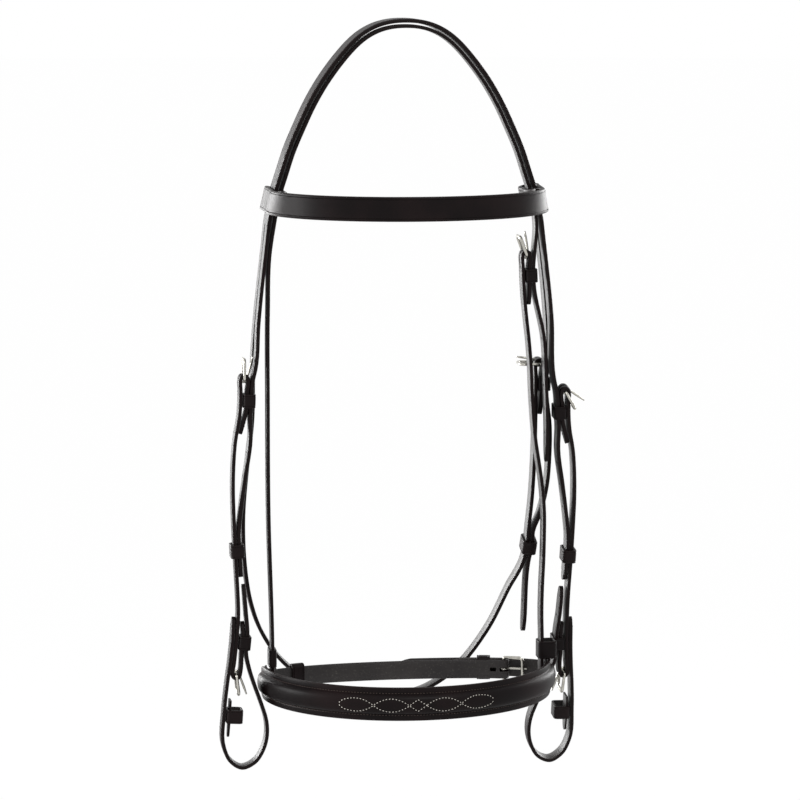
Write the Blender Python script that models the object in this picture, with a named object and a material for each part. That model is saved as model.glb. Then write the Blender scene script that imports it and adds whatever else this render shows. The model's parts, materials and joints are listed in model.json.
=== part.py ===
"""English headstall: crown, browband, cavesson noseband on its own headstrap, cheekpieces with buckled bit ends.

Metres, +Z up. The front of the head faces -Y and +X is to the viewer's right. The origin is on the underside
of the noseband headstrap at the middle of the poll, where the horse's head carries the bridle.
Side -1 is the viewer's left and side +1 the viewer's right.
"""
import math

import bmesh
import bpy
from mathutils import Matrix, Vector

# Leather and the gaps between touching pieces
GAP = 0.0003
PLY = 0.0032
CROWN_PLY = 0.0034
KEEPER_WALL = 0.0016
LINING_PLY = 0.0018
EDGE_BEVEL = 0.0007
SMOOTH_DEG = 35.0
STRAP_WIDTH = 0.014
SPLIT_SLIT = 0.004
SLIP_WIDTH = 0.013
SLIP_PLY = 0.0030
SLIP_UNDER_CROWN = 0.0010
SWEEP_STEP = 0.030
TURN_STEP = 0.010
TURN_DEG = 9.0
DROP_STEP = 0.022
POINT_LENGTH = 0.012
POINT_TIP_SHARE = 0.30
POINT_RING_SHARES = (0.08, 0.3, 0.65)

# The head that the straps hang round
HEAD_HALF = 0.125
ARCH_DROP = 0.250
HANG_SHIFT = 0.0075
LOOP_SPLAY = 0.010
SWING_SHARES = {-1: -0.04, 1: 0.104}
BROW_DROP = 0.148
SPLIT_DROP = 0.190
FRONT_ROW = -0.009
BACK_ROW = 0.009
SLIP_ROW = -0.0085

# Buckles
BAR_RADIUS = 0.0012
FRAME_RADIUS = 0.0013
FRAME_SWELL_SHARE = 1.25
FRAME_LENGTH = 0.0165
FRAME_SIDE_CLEARANCE = 0.0006
FRAME_CORNER = 0.0032
TONGUE_RADIUS = 0.0010
TONGUE_OVERHANG = 0.0016
TONGUE_ROOM = 0.0023
TONGUE_TIP_SHARE = 0.62
TONGUE_WRAP_DEG = 285.0
TONGUE_WRAP_STEPS = 8
TONGUE_SHANK_SHARES = (0.35, 0.7, 0.92)
SLOT_SIDE_CLEARANCE = 0.0007
SLOT_DEPTH = 0.0095
FOLD_STEPS = 6

# Keepers
KEEPER_HEIGHT = 0.0115
KEEPER_SIDE_CLEARANCE = 0.0006
KEEPER_CORNER = 0.0022
RUNNER_SLACK = 0.0008
EMPTY_KEEPER_ROOM = 0.0085

# Levels below the poll, the same for both sides before the shift
CHEEK_BAR_DROP = 0.304
CHEEK_KEEPER_DROP = 0.322
CHEEK_TAIL_DROP = 0.350
RUNNER_DROP = 0.448
CROWN_TIP_DROP = 0.4705
BIT_TIP_DROP = 0.4765
BIT_TOP_DROP = 0.504
BIT_KEEPER_DROP = 0.526
BIT_TAIL_DROP = 0.508
BIT_BAR_DROP = 0.5525
LOWER_KEEPER_DROP = 0.588
TAB_TOP_DROP = 0.5745
TAB_POINT_DROP = 0.606
LOOP_DROP = 0.632
RUNNER_ZONE = 0.014

# Noseband headstrap on the right, and the noseband
SLIP_BAR_DROP = 0.196
SLIP_KEEPER_DROP = 0.2135
SLIP_TAIL_DROP = 0.238
SLIP_ARCH_END = 0.178
THROAT_BAR_DROP = 0.290
THROAT_KEEPER_DROP = 0.3075
THROAT_TAIL_DROP = 0.334
THROAT_RUNNER_DROP = 0.447
THROAT_TIP_DROP = 0.524
THROAT_TIP_LEAN_SHARE = 0.45
NOSE_DROP = 0.556
NOSE_HALF = 0.1227
NOSE_SHIFT = 0.002
NOSE_FRONT = 0.104
NOSE_BACK = 0.030
NOSE_WIDTH = 0.028
NOSE_RIM = 0.0025
NOSE_RAISE = 0.0046
NOSE_BILLET_WIDTH = 0.016
NOSE_END_DEG = 100.0
NOSE_TAPER_DEG = 16.0
NOSE_TIP_DEG = 182.0
LINING_END_DEG = 97.0
NOSE_LEFT_DEG = -116.0
CHIN_LEFT_DEG = -94.0
CHIN_BAR_DEG = 226.5
CHIN_KEEPER_BACK = 0.0165
CHIN_TAIL_BACK = 0.044
CHIN_RUNNER_DEG = -130.0
NOSE_STEP_DEG = 5.9
HANGER_BELOW = 0.010
HANGER_CLEARANCE = 0.0006
LOOP_ROOM = 0.009
LOOP_HEIGHT = 0.015

# Browband
BROW_WIDTH = 0.020
BROW_PLY = 0.0034
BROW_BOW = 0.112
BROW_ROOM = 0.0005
BROW_TAIL = 0.024
BROW_CORNER = 0.0036
BROW_HALF_DEG = 80.0
BROW_STEPS = 21
BROW_TAIL_TURN_SHARE = 0.35

# Centre line of the crown: shares of HEAD_HALF and ARCH_DROP
ARCH_SHARES = (
    (0.0, 0.0), (0.15, 0.009), (0.288, 0.034), (0.384, 0.075), (0.464, 0.118), (0.56, 0.175), (0.64, 0.238),
    (0.72, 0.32), (0.788, 0.40), (0.84, 0.484), (0.884, 0.576), (0.92, 0.672), (0.952, 0.78), (0.992, 1.0),
)
# Cheek line on either side: shares of LOOP_DROP and HEAD_HALF
CHEEK_SHARES = (
    (0.470, 1.114), (0.500, 1.114), (0.520, 1.118), (0.566, 1.156), (0.620, 1.172), (0.674, 1.168), (0.709, 1.162),
    (0.759, 1.150), (0.797, 1.146), (0.832, 1.148), (0.873, 1.158), (0.910, 1.170), (0.949, 1.168),
)
# How far the crown billet lies inside the cheek line between its two keepers: shares of LOOP_DROP and HEAD_HALF
LENS_SHARES = ((0.560, 0.101), (0.609, 0.083), (0.652, 0.052))
# Bit loop below the cheekpiece, down the outside and up the inside: shares of LOOP_DROP and HEAD_HALF
LOOP_SHARES = (
    (0.972, 1.183), (0.990, 1.136), (1.000, 1.052), (0.993, 0.968), (0.976, 0.916), (0.957, 0.898), (0.938, 0.908),
    (0.915, 0.950), (0.890, 1.004), (0.866, 1.050),
)
RETURN_SHARES = ((0.790, 0.052), (0.754, 0.044))
# Right end of the noseband headstrap, and the strap that it buckles to: shares of LOOP_DROP and HEAD_HALF
SLIP_END_SHARES = ((0.375, 0.906), (0.425, 0.944), (0.480, 0.958), (0.538, 0.968), (0.589, 0.970))
NOSE_STRAP_SHARES = (
    (0.290, 0.790), (0.338, 0.797), (0.372, 0.808), (0.404, 0.826), (0.440, 0.846), (0.506, 0.864), (0.560, 0.888),
    (0.600, 0.920), (0.641, 0.946), (0.695, 0.950), (0.775, 0.936),
)
SLIP_LEFT_SHARES = ((0.300, 0.910), (0.380, 0.926), (0.500, 0.930), (0.640, 0.930), (0.775, 0.932))
# Throat strap from the left billet round to the right buckle: shares of HEAD_HALF out to the viewer's right,
# of LOOP_DROP down and of HEAD_HALF back
THROAT_SHARES = (
    (-1.012, 0.443, 0.072), (-1.024, 0.533, 0.080), (-1.056, 0.587, 0.084), (-1.086, 0.665, 0.100),
    (-1.074, 0.722, 0.135), (-1.030, 0.776, 0.215), (-0.930, 0.830, 0.345), (-0.760, 0.878, 0.460),
    (-0.480, 0.917, 0.530), (-0.140, 0.932, 0.555), (0.200, 0.925, 0.550), (0.440, 0.893, 0.500),
    (0.640, 0.836, 0.400), (0.770, 0.772, 0.270), (0.852, 0.728, 0.150), (0.866, 0.708, 0.115),
    (0.872, 0.686, 0.095), (0.892, 0.641, 0.078), (0.906, 0.587, 0.072), (0.912, 0.530, 0.072),
)
THROAT_BILLET_SHARES = (
    (0.994, 0.425), (1.012, 0.545), (1.010, 0.587), (0.996, 0.622), (0.946, 0.664),
)
# Swell of the noseband's front: shares of half its width and of its raise
NOSE_SWELL_SHARES = ((0.62, 0.06), (0.52, 0.52), (0.30, 0.90), (0.0, 1.0))
HOLE_RADIUS = 0.0012
HOLE_PITCH = 0.020
HOLE_FROM_TIP = 0.026
HOLE_SIDES = 8
CHEEK_HOLES = 5
SLIP_HOLES = 5
BIT_HOLES = 4
THROAT_HOLES = 4
NOSE_HOLES = 4

# Rest angles of the buckles, towards the face that the billet lies on
CHEEK_FRAME_DEG = {-1: 0.0, 1: -150.0}
CHEEK_TONGUE_DEG = {-1: 14.0, 1: 24.0}
BIT_FRAME_DEG = 6.0
BIT_TONGUE_DEG = 12.0
SLIP_FRAME_DEG = -20.0
SLIP_TONGUE_DEG = 10.0
THROAT_FRAME_DEG = -90.0
THROAT_TONGUE_DEG = 8.0
NOSE_FRAME_DEG = -7.0
NOSE_TONGUE_DEG = 0.0

# Worked out from the sizes above
CROWN_WIDTH = 2 * STRAP_WIDTH + SPLIT_SLIT
SLIP_RISE = SLIP_PLY / 2
CROWN_RISE = SLIP_PLY + SLIP_UNDER_CROWN + CROWN_PLY / 2
FOLD_RADIUS = BAR_RADIUS + GAP + PLY / 2
THROAT_FOLD = BAR_RADIUS + GAP + CROWN_PLY / 2
THROAT_APART = CROWN_PLY + 3 * GAP
KEEPER_PLIES = PLY + KEEPER_WALL + 2 * GAP
BILLET_APART = (PLY + CROWN_PLY) / 2 + GAP
WRAP_RADIUS = BAR_RADIUS + GAP + TONGUE_RADIUS
NOSE_PLIES = NOSE_RIM / 2 + GAP + LINING_PLY
ACROSS = Vector((0.0, 1.0, 0.0))
UPRIGHT = Vector((0.0, 0.0, 1.0))
GRAIN = (0.020, 0.012, 0.011, 1.0)
FLESH = (0.030, 0.019, 0.016, 1.0)
NICKEL = (0.62, 0.61, 0.58, 1.0)


def clear_scene():
    """Starts from nothing, whatever file the script runs from."""
    for thing in list(bpy.data.objects):
        bpy.data.objects.remove(thing, do_unlink=True)


def finish_material(name, colour, roughness, metallic):
    """One plain finish of the object."""
    material = bpy.data.materials.new(name)
    material.use_nodes = True
    shader = material.node_tree.nodes["Principled BSDF"]
    shader.inputs["Base Color"].default_value = colour
    shader.inputs["Roughness"].default_value = roughness
    shader.inputs["Metallic"].default_value = metallic
    return material


def add_object(name, data, material, at=(0.0, 0.0, 0.0)):
    """Puts one named piece in the scene with its own material."""
    thing = bpy.data.objects.new(name, data)
    thing.location = at
    data.materials.append(material.copy())
    bpy.context.scene.collection.objects.link(thing)
    return thing


def solid(name, mesh, material, at=(0.0, 0.0, 0.0)):
    """Turns a finished bmesh into a piece, faces outwards and smooth but for its edges."""
    bmesh.ops.recalc_face_normals(mesh, faces=mesh.faces)
    data = bpy.data.meshes.new(name)
    mesh.to_mesh(data)
    mesh.free()
    data.shade_smooth()
    data.set_sharp_from_angle(angle=math.radians(SMOOTH_DEG))
    return add_object(name, data, material, at)


def smooth_value(table, at):
    """Reads a curve through a table of (place, value), with a slope that fits unequal steps."""
    places = [place for place, _ in table]
    values = [value for _, value in table]
    steps = [b - a for a, b in zip(places, places[1:])]
    slopes = [(b - a) / step for a, b, step in zip(values, values[1:], steps)]
    tangents = [slopes[0]]
    for before, after, left, right in zip(slopes, slopes[1:], steps, steps[1:]):
        tangents.append((before * right + after * left) / (left + right))
    tangents.append(slopes[-1])
    k = 0
    while k < len(steps) - 1 and at > places[k + 1]:
        k += 1
    u = min(max((at - places[k]) / steps[k], 0.0), 1.0)
    start = (2 * u**3 - 3 * u**2 + 1) * values[k] + (u**3 - 2 * u**2 + u) * steps[k] * tangents[k]
    return start + (3 * u**2 - 2 * u**3) * values[k + 1] + (u**3 - u**2) * steps[k] * tangents[k + 1]


def smooth_route(points, step=SWEEP_STEP):
    """A smooth line through the points, sampled no wider than the step and closer where it turns."""
    chords = [(b - a).length for a, b in zip(points, points[1:])]
    slopes = [(b - a) / chord for a, b, chord in zip(points, points[1:], chords)]
    tangents = [slopes[0]]
    for before, after, left, right in zip(slopes, slopes[1:], chords, chords[1:]):
        tangents.append((before * right + after * left) / (left + right))
    tangents.append(slopes[-1])
    route = [points[0].copy()]
    for k, chord in enumerate(chords):
        turn = math.degrees(tangents[k].angle(tangents[k + 1]))
        count = max(math.ceil(chord / step), min(math.ceil(turn / TURN_DEG), math.ceil(chord / TURN_STEP)))
        for n in range(1, count + 1):
            u = n / count
            near = points[k] * (2 * u**3 - 3 * u**2 + 1) + tangents[k] * (chord * (u**3 - 2 * u**2 + u))
            far = points[k + 1] * (3 * u**2 - 2 * u**3) + tangents[k + 1] * (chord * (u**3 - u**2))
            route.append(near + far)
    return route


def tangent_at(route, k):
    """Direction of the route at one of its points."""
    return (route[min(k + 1, len(route) - 1)] - route[max(k - 1, 0)]).normalized()


def tip_share(distance):
    """Width of a billet near its pointed tip, as a share of its full width."""
    reach = min(distance / POINT_LENGTH, 1.0)
    return POINT_TIP_SHARE + (1 - POINT_TIP_SHARE) * math.sqrt(reach)


def strap_widths(route, width, start_point, end_point):
    """The strap's width at each point of its route."""
    lengths = [0.0]
    for a, b in zip(route, route[1:]):
        lengths.append(lengths[-1] + (b - a).length)
    widths = []
    for length in lengths:
        share = tip_share(length) if start_point else 1.0
        if end_point:
            share = min(share, tip_share(lengths[-1] - length))
        widths.append(width * share)
    return widths


def with_tip_points(points, start_point, end_point):
    """Adds the points that a tapered tip needs near the ends of a route."""
    points = list(points)
    for wanted, index, inner in ((start_point, 0, 1), (end_point, -1, -2)):
        if not wanted:
            continue
        tip = points[index]
        way = (points[inner] - tip).normalized()
        extra = [tip + way * (POINT_LENGTH * share) for share in POINT_RING_SHARES]
        if index == 0:
            points[1:1] = extra
        else:
            points[-1:-1] = reversed(extra)
    return points


def strap_ring(mesh, centre, across, normal, width, ply):
    """The eight corners of a strap's bevelled section."""
    w = width / 2
    n = ply / 2
    b = EDGE_BEVEL
    corners = ((-w, b - n), (b - w, -n), (w - b, -n), (w, b - n), (w, n - b), (w - b, n), (b - w, n), (-w, n - b))
    return [mesh.verts.new(centre + across * a + normal * o) for a, o in corners]


def skin(mesh, ring, next_ring):
    """Faces between two like rings of a sweep."""
    for k in range(len(ring)):
        mesh.faces.new((ring[k - 1], ring[k], next_ring[k], next_ring[k - 1]))


def strap_frame(route, k, across):
    """The strap's width direction and its face direction at a point of its route."""
    tangent = tangent_at(route, k)
    side_way = (across - tangent * across.dot(tangent)).normalized()
    return side_way, tangent.cross(side_way)


def strap(name, points, width, ply, material, across=ACROSS, start_point=False, end_point=False):
    """A strap of leather along a smooth route, with bevelled edges and pointed or square ends."""
    route = smooth_route(with_tip_points(points, start_point, end_point))
    ways = [across(spot) if callable(across) else across for spot in route]
    widths = strap_widths(route, width, start_point, end_point)
    mesh = bmesh.new()
    rings = []
    for k, centre in enumerate(route):
        side_way, normal = strap_frame(route, k, ways[k])
        rings.append(strap_ring(mesh, centre, side_way, normal, widths[k], ply))
    for ring, next_ring in zip(rings, rings[1:]):
        skin(mesh, ring, next_ring)
    mesh.faces.new(reversed(rings[0]))
    mesh.faces.new(rings[-1])
    return solid(name, mesh, material)


def fold_points(centre, first, away, radius=FOLD_RADIUS):
    """Half a turn of a strap round a buckle's bar."""
    turns = [math.pi * k / FOLD_STEPS for k in range(FOLD_STEPS + 1)]
    return [centre + (first * math.cos(turn) + away * math.sin(turn)) * radius for turn in turns]


def cutter(name, mesh):
    """A shape that is only cut away."""
    bmesh.ops.recalc_face_normals(mesh, faces=mesh.faces)
    data = bpy.data.meshes.new(name)
    mesh.to_mesh(data)
    mesh.free()
    thing = bpy.data.objects.new(name, data)
    bpy.context.scene.collection.objects.link(thing)
    thing.hide_render = True
    thing.display_type = "WIRE"
    return thing


def cut(piece, tool):
    """Cuts the tool's shape out of the piece."""
    change = piece.modifiers.new(tool.name, "BOOLEAN")
    change.operation = "DIFFERENCE"
    change.solver = "EXACT"
    change.object = tool


def cut_tongue_slot(piece, bar, across, away):
    """The oblong slot in a fold of leather that the buckle's tongue swings in."""
    face = across.cross(away)
    deep = 2 * (THROAT_FOLD + CROWN_PLY / 2 + GAP / 2)
    over = FOLD_RADIUS + PLY
    long = SLOT_DEPTH + over
    wide = 2 * (TONGUE_RADIUS + SLOT_SIDE_CLEARANCE)
    mesh = bmesh.new()
    bmesh.ops.create_cube(mesh, size=1.0)
    turn = Matrix((across * wide, away * long, face * deep)).transposed().to_4x4()
    move = Matrix.Translation(bar + away * (over - long / 2))
    bmesh.ops.transform(mesh, matrix=move @ turn, verts=mesh.verts)
    cut(piece, cutter(piece.name + "_slot_cut", mesh))


def cut_holes(piece, places):
    """Punches round holes through a billet at (place, direction through the leather)."""
    mesh = bmesh.new()
    for place, through in places:
        matrix = Matrix.Translation(place) @ through.to_track_quat("Z", "Y").to_matrix().to_4x4()
        bmesh.ops.create_cone(mesh, cap_ends=True, segments=HOLE_SIDES, radius1=HOLE_RADIUS, radius2=HOLE_RADIUS,
                              depth=CROWN_PLY + GAP, matrix=matrix)
    cut(piece, cutter(piece.name + "_hole_cut", mesh))


def holes_along(points, across, count):
    """Places of a row of holes, counted back from the last point of a billet's route."""
    route = smooth_route(points, EDGE_BEVEL)
    places = []
    wanted = HOLE_FROM_TIP
    length = 0.0
    for k in range(len(route) - 1, 0, -1):
        length += (route[k] - route[k - 1]).length
        if length >= wanted and len(places) < count:
            places.append((route[k], strap_frame(route, k, across)[1]))
            wanted += HOLE_PITCH
    return places


def keeper(name, centre, across, out, width, thick, height, material):
    """A band of leather round an opening of the given width and thickness; its walls lie outside that."""
    along = across.cross(out)
    mesh = bmesh.new()
    rings = []
    for wall, corner in ((0.0, KEEPER_CORNER - KEEPER_WALL), (KEEPER_WALL, KEEPER_CORNER)):
        for end in (-height / 2, height / 2):
            ring = []
            for a_sign, o_sign, turn in ((1, 1, 0), (-1, 1, 90), (-1, -1, 180), (1, -1, 270)):
                a_mid = a_sign * (width / 2 + wall - corner)
                o_mid = o_sign * (thick / 2 + wall - corner)
                for step in (0, 45, 90):
                    angle = math.radians(turn + step)
                    place = across * (a_mid + corner * math.cos(angle)) + out * (o_mid + corner * math.sin(angle))
                    ring.append(mesh.verts.new(centre + place + along * end))
            rings.append(ring)
    low_in, high_in, low_out, high_out = rings
    for ring, next_ring in ((low_in, high_in), (high_in, high_out), (high_out, low_out), (low_out, low_in)):
        skin(mesh, ring, next_ring)
    return solid(name, mesh, material)


def buckle_frame(name, bar, across, away, face, width, angle, material):
    """A wire frame whose own bar is its hinge, drawn at its rest angle towards the billet's face."""
    turn = math.radians(angle)
    lie = away * math.cos(turn) + face * math.sin(turn)
    half = width / 2 + FRAME_SIDE_CLEARANCE + FRAME_RADIUS
    curve = bpy.data.curves.new(name, "CURVE")
    curve.dimensions = "3D"
    curve.bevel_depth = FRAME_RADIUS
    curve.bevel_resolution = 1
    corners = ((1, 1, 0), (-1, 1, 90), (-1, 0, 180), (1, 0, 270))
    points = []
    for a_sign, far, start in corners:
        a_mid = a_sign * (half - FRAME_CORNER * far)
        l_mid = (FRAME_LENGTH - FRAME_CORNER) if far else 0.0
        swell = FRAME_SWELL_SHARE if far else BAR_RADIUS / FRAME_RADIUS
        for step in ((0, 30, 60, 90) if far else (0,)):
            bend = math.radians(start + step)
            reach = FRAME_CORNER if far else 0.0
            points.append((a_mid + reach * math.cos(bend), l_mid + reach * math.sin(bend), swell))
    spline = curve.splines.new("POLY")
    spline.points.add(len(points) - 1)
    for point, (a, length, swell) in zip(spline.points, points):
        point.co = (*(across * a + lie * length), 1.0)
        point.radius = swell
    spline.use_cyclic_u = True
    return add_object(name, curve, material, bar)


def buckle_tongue(name, bar, away, face, angle, material):
    """A tongue hooked round the bar, its tip over the frame's far end, drawn at its rest angle."""
    turn = math.radians(angle)
    lie = away * math.cos(turn) + face * math.sin(turn)
    rise = face * math.cos(turn) - away * math.sin(turn)
    over = FRAME_RADIUS * FRAME_SWELL_SHARE + TONGUE_RADIUS + GAP
    end = FRAME_LENGTH + FRAME_RADIUS * FRAME_SWELL_SHARE + TONGUE_OVERHANG
    curve = bpy.data.curves.new(name, "CURVE")
    curve.dimensions = "3D"
    curve.bevel_depth = TONGUE_RADIUS
    curve.bevel_resolution = 1
    curve.use_fill_caps = True
    points = []
    for k in range(TONGUE_WRAP_STEPS + 1):
        bend = math.radians(90.0 + TONGUE_WRAP_DEG * (1 - k / TONGUE_WRAP_STEPS))
        points.append((WRAP_RADIUS * math.cos(bend), WRAP_RADIUS * math.sin(bend), 1.0))
    for share in TONGUE_SHANK_SHARES:
        points.append((FRAME_LENGTH * share, WRAP_RADIUS + (over - WRAP_RADIUS) * share, 1.0))
    points.append((end, over, TONGUE_TIP_SHARE))
    spline = curve.splines.new("POLY")
    spline.points.add(len(points) - 1)
    for point, (length, height, thick) in zip(spline.points, points):
        point.co = (*(lie * length + rise * height), 1.0)
        point.radius = thick
    return add_object(name, curve, material, bar)


def buckle(prefix, bar, across, away, face, width, frame_deg, tongue_deg, metal):
    """A buckle's frame and its tongue on one bar."""
    buckle_frame(prefix + "_frame", bar, across, away, face, width, frame_deg, metal)
    buckle_tongue(prefix + "_tongue", bar, away, face, frame_deg + tongue_deg, metal)


def place(side, out, drop, back):
    """A place on one side's hanging straps, with that side's shift and the left loop's splay."""
    splay = 0.0
    if side < 0:
        splay = LOOP_SPLAY * max(0.0, (drop - BIT_TOP_DROP) / (LOOP_DROP - BIT_TOP_DROP))
    swing = SWING_SHARES[side] * max(0.0, drop - CHEEK_BAR_DROP)
    return Vector((side * (out + splay), back + swing, CROWN_RISE - drop - side * HANG_SHIFT))


def hang_axes(side):
    """Upward direction of one side's hanging straps and the direction of their width."""
    swing = SWING_SHARES[side]
    return Vector((0.0, -swing, 1.0)).normalized(), Vector((0.0, 1.0, swing)).normalized()


def fixed_place(side, out, drop, back):
    """A place on the straps over the poll, which both sides share."""
    return Vector((side * out, back, CROWN_RISE - drop))


def out_at(shares, drop):
    """Distance out from the middle of a line given in shares, at a drop below the poll."""
    return HEAD_HALF * smooth_value(shares, drop / LOOP_DROP)


def cheek_out(drop):
    """The cheek line: middle of the cheekpiece's main ply."""
    return out_at(CHEEK_SHARES, drop)


def drops_between(start, end):
    """Even drops from one level to another, ends included."""
    count = max(1, math.ceil(abs(end - start) / DROP_STEP))
    return [start + (end - start) * k / count for k in range(count + 1)]


def arch_point(side, shares, inset):
    """A point of the crown's arch, moved in from it by an inset along its normal."""
    out_share, drop_share = shares
    k = ARCH_SHARES.index(shares)
    before = ARCH_SHARES[max(k - 1, 0)]
    after = ARCH_SHARES[min(k + 1, len(ARCH_SHARES) - 1)]
    run = Vector(((after[0] - before[0]) * HEAD_HALF, (after[1] - before[1]) * ARCH_DROP))
    if k == 0:
        run = Vector((1.0, 0.0))
    run.normalize()
    out = out_share * HEAD_HALF - run.y * inset
    drop = drop_share * ARCH_DROP + run.x * inset
    return out, drop


def crown_front_points(side):
    """Cheek billet of the crown below the slit, down one side to its tip."""
    cheek = lambda drop, inside: place(side, cheek_out(drop) - inside, drop, FRONT_ROW)
    beside_fold = 2 * FOLD_RADIUS + BILLET_APART + GAP
    in_keeper = KEEPER_PLIES + BILLET_APART
    half = KEEPER_HEIGHT / 2
    points = [cheek(CHEEK_BAR_DROP - FRAME_LENGTH / 2, beside_fold + TONGUE_ROOM)]
    points.append(cheek(CHEEK_BAR_DROP, beside_fold + GAP))
    points.append(cheek(CHEEK_KEEPER_DROP - half - EDGE_BEVEL, in_keeper + GAP / 2))
    points += [cheek(CHEEK_KEEPER_DROP + end, in_keeper) for end in (-half / 2, half, KEEPER_HEIGHT)]
    points += [cheek(drop * LOOP_DROP, inside * HEAD_HALF) for drop, inside in LENS_SHARES]
    points += [cheek(RUNNER_DROP + end, BILLET_APART) for end in (-RUNNER_ZONE, 0.0, RUNNER_ZONE)]
    points.append(cheek(CROWN_TIP_DROP, BILLET_APART + GAP))
    return points


def throat_points():
    """Left throat billet of the crown, round under the throat to its buckle on the right."""
    points = []
    for out, drop, back in THROAT_SHARES:
        points.append(fixed_place(1, out * HEAD_HALF, drop * LOOP_DROP, back * HEAD_HALF))
    bar = throat_bar()
    for drop in (THROAT_KEEPER_DROP, THROAT_BAR_DROP + SLOT_DEPTH):
        points.append(Vector((bar.x - THROAT_FOLD, BACK_ROW, CROWN_RISE - drop)))
    points += fold_points(bar, Vector((-1, 0, 0)), UPRIGHT, THROAT_FOLD)
    inner_x = bar.x - THROAT_FOLD
    over_base = CROWN_PLY + KEEPER_WALL + 2 * GAP
    for end in (-KEEPER_HEIGHT / 2, KEEPER_HEIGHT / 2):
        points.append(Vector((inner_x + over_base, BACK_ROW, CROWN_RISE - THROAT_KEEPER_DROP - end)))
    points.append(Vector((inner_x + CROWN_PLY + 3 * GAP, BACK_ROW, CROWN_RISE - THROAT_TAIL_DROP)))
    return points


def throat_bar():
    """Middle of the throat buckle's bar."""
    out = THROAT_SHARES[-1][0] * HEAD_HALF
    return Vector((out + THROAT_FOLD, BACK_ROW, CROWN_RISE - THROAT_BAR_DROP))


def throat_billet_points():
    """Right throat billet of the crown, beside the fold and through the throat's keepers to its tip."""
    places = [fixed_place(1, out * HEAD_HALF, drop * LOOP_DROP, BACK_ROW) for out, drop in THROAT_BILLET_SHARES]
    bar = throat_bar()
    beside_fold = bar.x + THROAT_FOLD + CROWN_PLY + 2 * GAP
    in_keeper = bar.x - THROAT_FOLD + 2 * CROWN_PLY + KEEPER_WALL + 3 * GAP
    points = places[:1]
    for end in (THROAT_FOLD + CROWN_PLY / 2, 0.0):
        points.append(Vector((beside_fold, BACK_ROW, bar.z + end)))
    for end in (-KEEPER_HEIGHT / 2, KEEPER_HEIGHT / 2):
        points.append(Vector((in_keeper, BACK_ROW, CROWN_RISE - THROAT_KEEPER_DROP - end)))
    points += places[1:]
    for spot, along in throat_runner_seats():
        points.append(spot + outward_normal(along) * THROAT_APART)
    last = points[-1]
    way = last - points[-2]
    drop = last.z - (CROWN_RISE - THROAT_TIP_DROP)
    lean = way.x / abs(way.z) * THROAT_TIP_LEAN_SHARE
    points.append(last + Vector((lean * drop, 0.0, -drop)))
    return points


def outward_normal(along):
    """Face direction of a right strap, away from the head."""
    side_way = (ACROSS - along * ACROSS.dot(along)).normalized()
    normal = side_way.cross(along)
    return normal if normal.x > 0 else -normal


def throat_runner_seats():
    """Places and upward directions of the throat strap above, at and below its runner."""
    route = smooth_route(throat_points())
    level = CROWN_RISE - THROAT_RUNNER_DROP
    right = [k for k, spot in enumerate(route) if spot.x > HEAD_HALF / 2]
    near = min(right, key=lambda k: abs(route[k].z - level))
    return [(route[k], tangent_at(route, k)) for k in (near + 1, near, near - 1)]


def crown_ring(mesh, centre, across, normal):
    """Twelve corners of the crown's full width, which the two splits share between them."""
    w = CROWN_WIDTH / 2
    n = CROWN_PLY / 2
    s = SPLIT_SLIT / 2
    b = EDGE_BEVEL
    corners = ((-w, b - n), (b - w, -n), (-s, -n), (s, -n), (w - b, -n), (w, b - n),
               (w, n - b), (w - b, n), (s, n), (-s, n), (b - w, n), (-w, n - b))
    return [mesh.verts.new(centre + across * a + normal * o) for a, o in corners]


def split_ring(mesh, centre, across, normal, width, back):
    """Six corners of a split: bevelled on the crown's outer edge and square on the slit's."""
    w = width / 2
    n = CROWN_PLY / 2
    b = EDGE_BEVEL
    if back:
        corners = ((-w, -n), (w - b, -n), (w, b - n), (w, n - b), (w - b, n), (-w, n))
    else:
        corners = ((-w, b - n), (b - w, -n), (w, -n), (w, n), (b - w, n), (-w, n - b))
    return [mesh.verts.new(centre + across * a + normal * o) for a, o in corners]


def grow_split(mesh, start_ring, points, side, back, pointed):
    """Carries one split of the crown on from the end of the slit."""
    route = smooth_route(with_tip_points(points, False, pointed))
    widths = strap_widths(route, STRAP_WIDTH, False, pointed)
    last = start_ring
    for k in range(1, len(route)):
        way = tangent_at(route, k) * side
        side_way = (ACROSS - way * ACROSS.dot(way)).normalized()
        ring = split_ring(mesh, route[k], side_way, way.cross(side_way), widths[k], back)
        skin(mesh, last, ring)
        last = ring
    mesh.faces.new(last)


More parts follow.
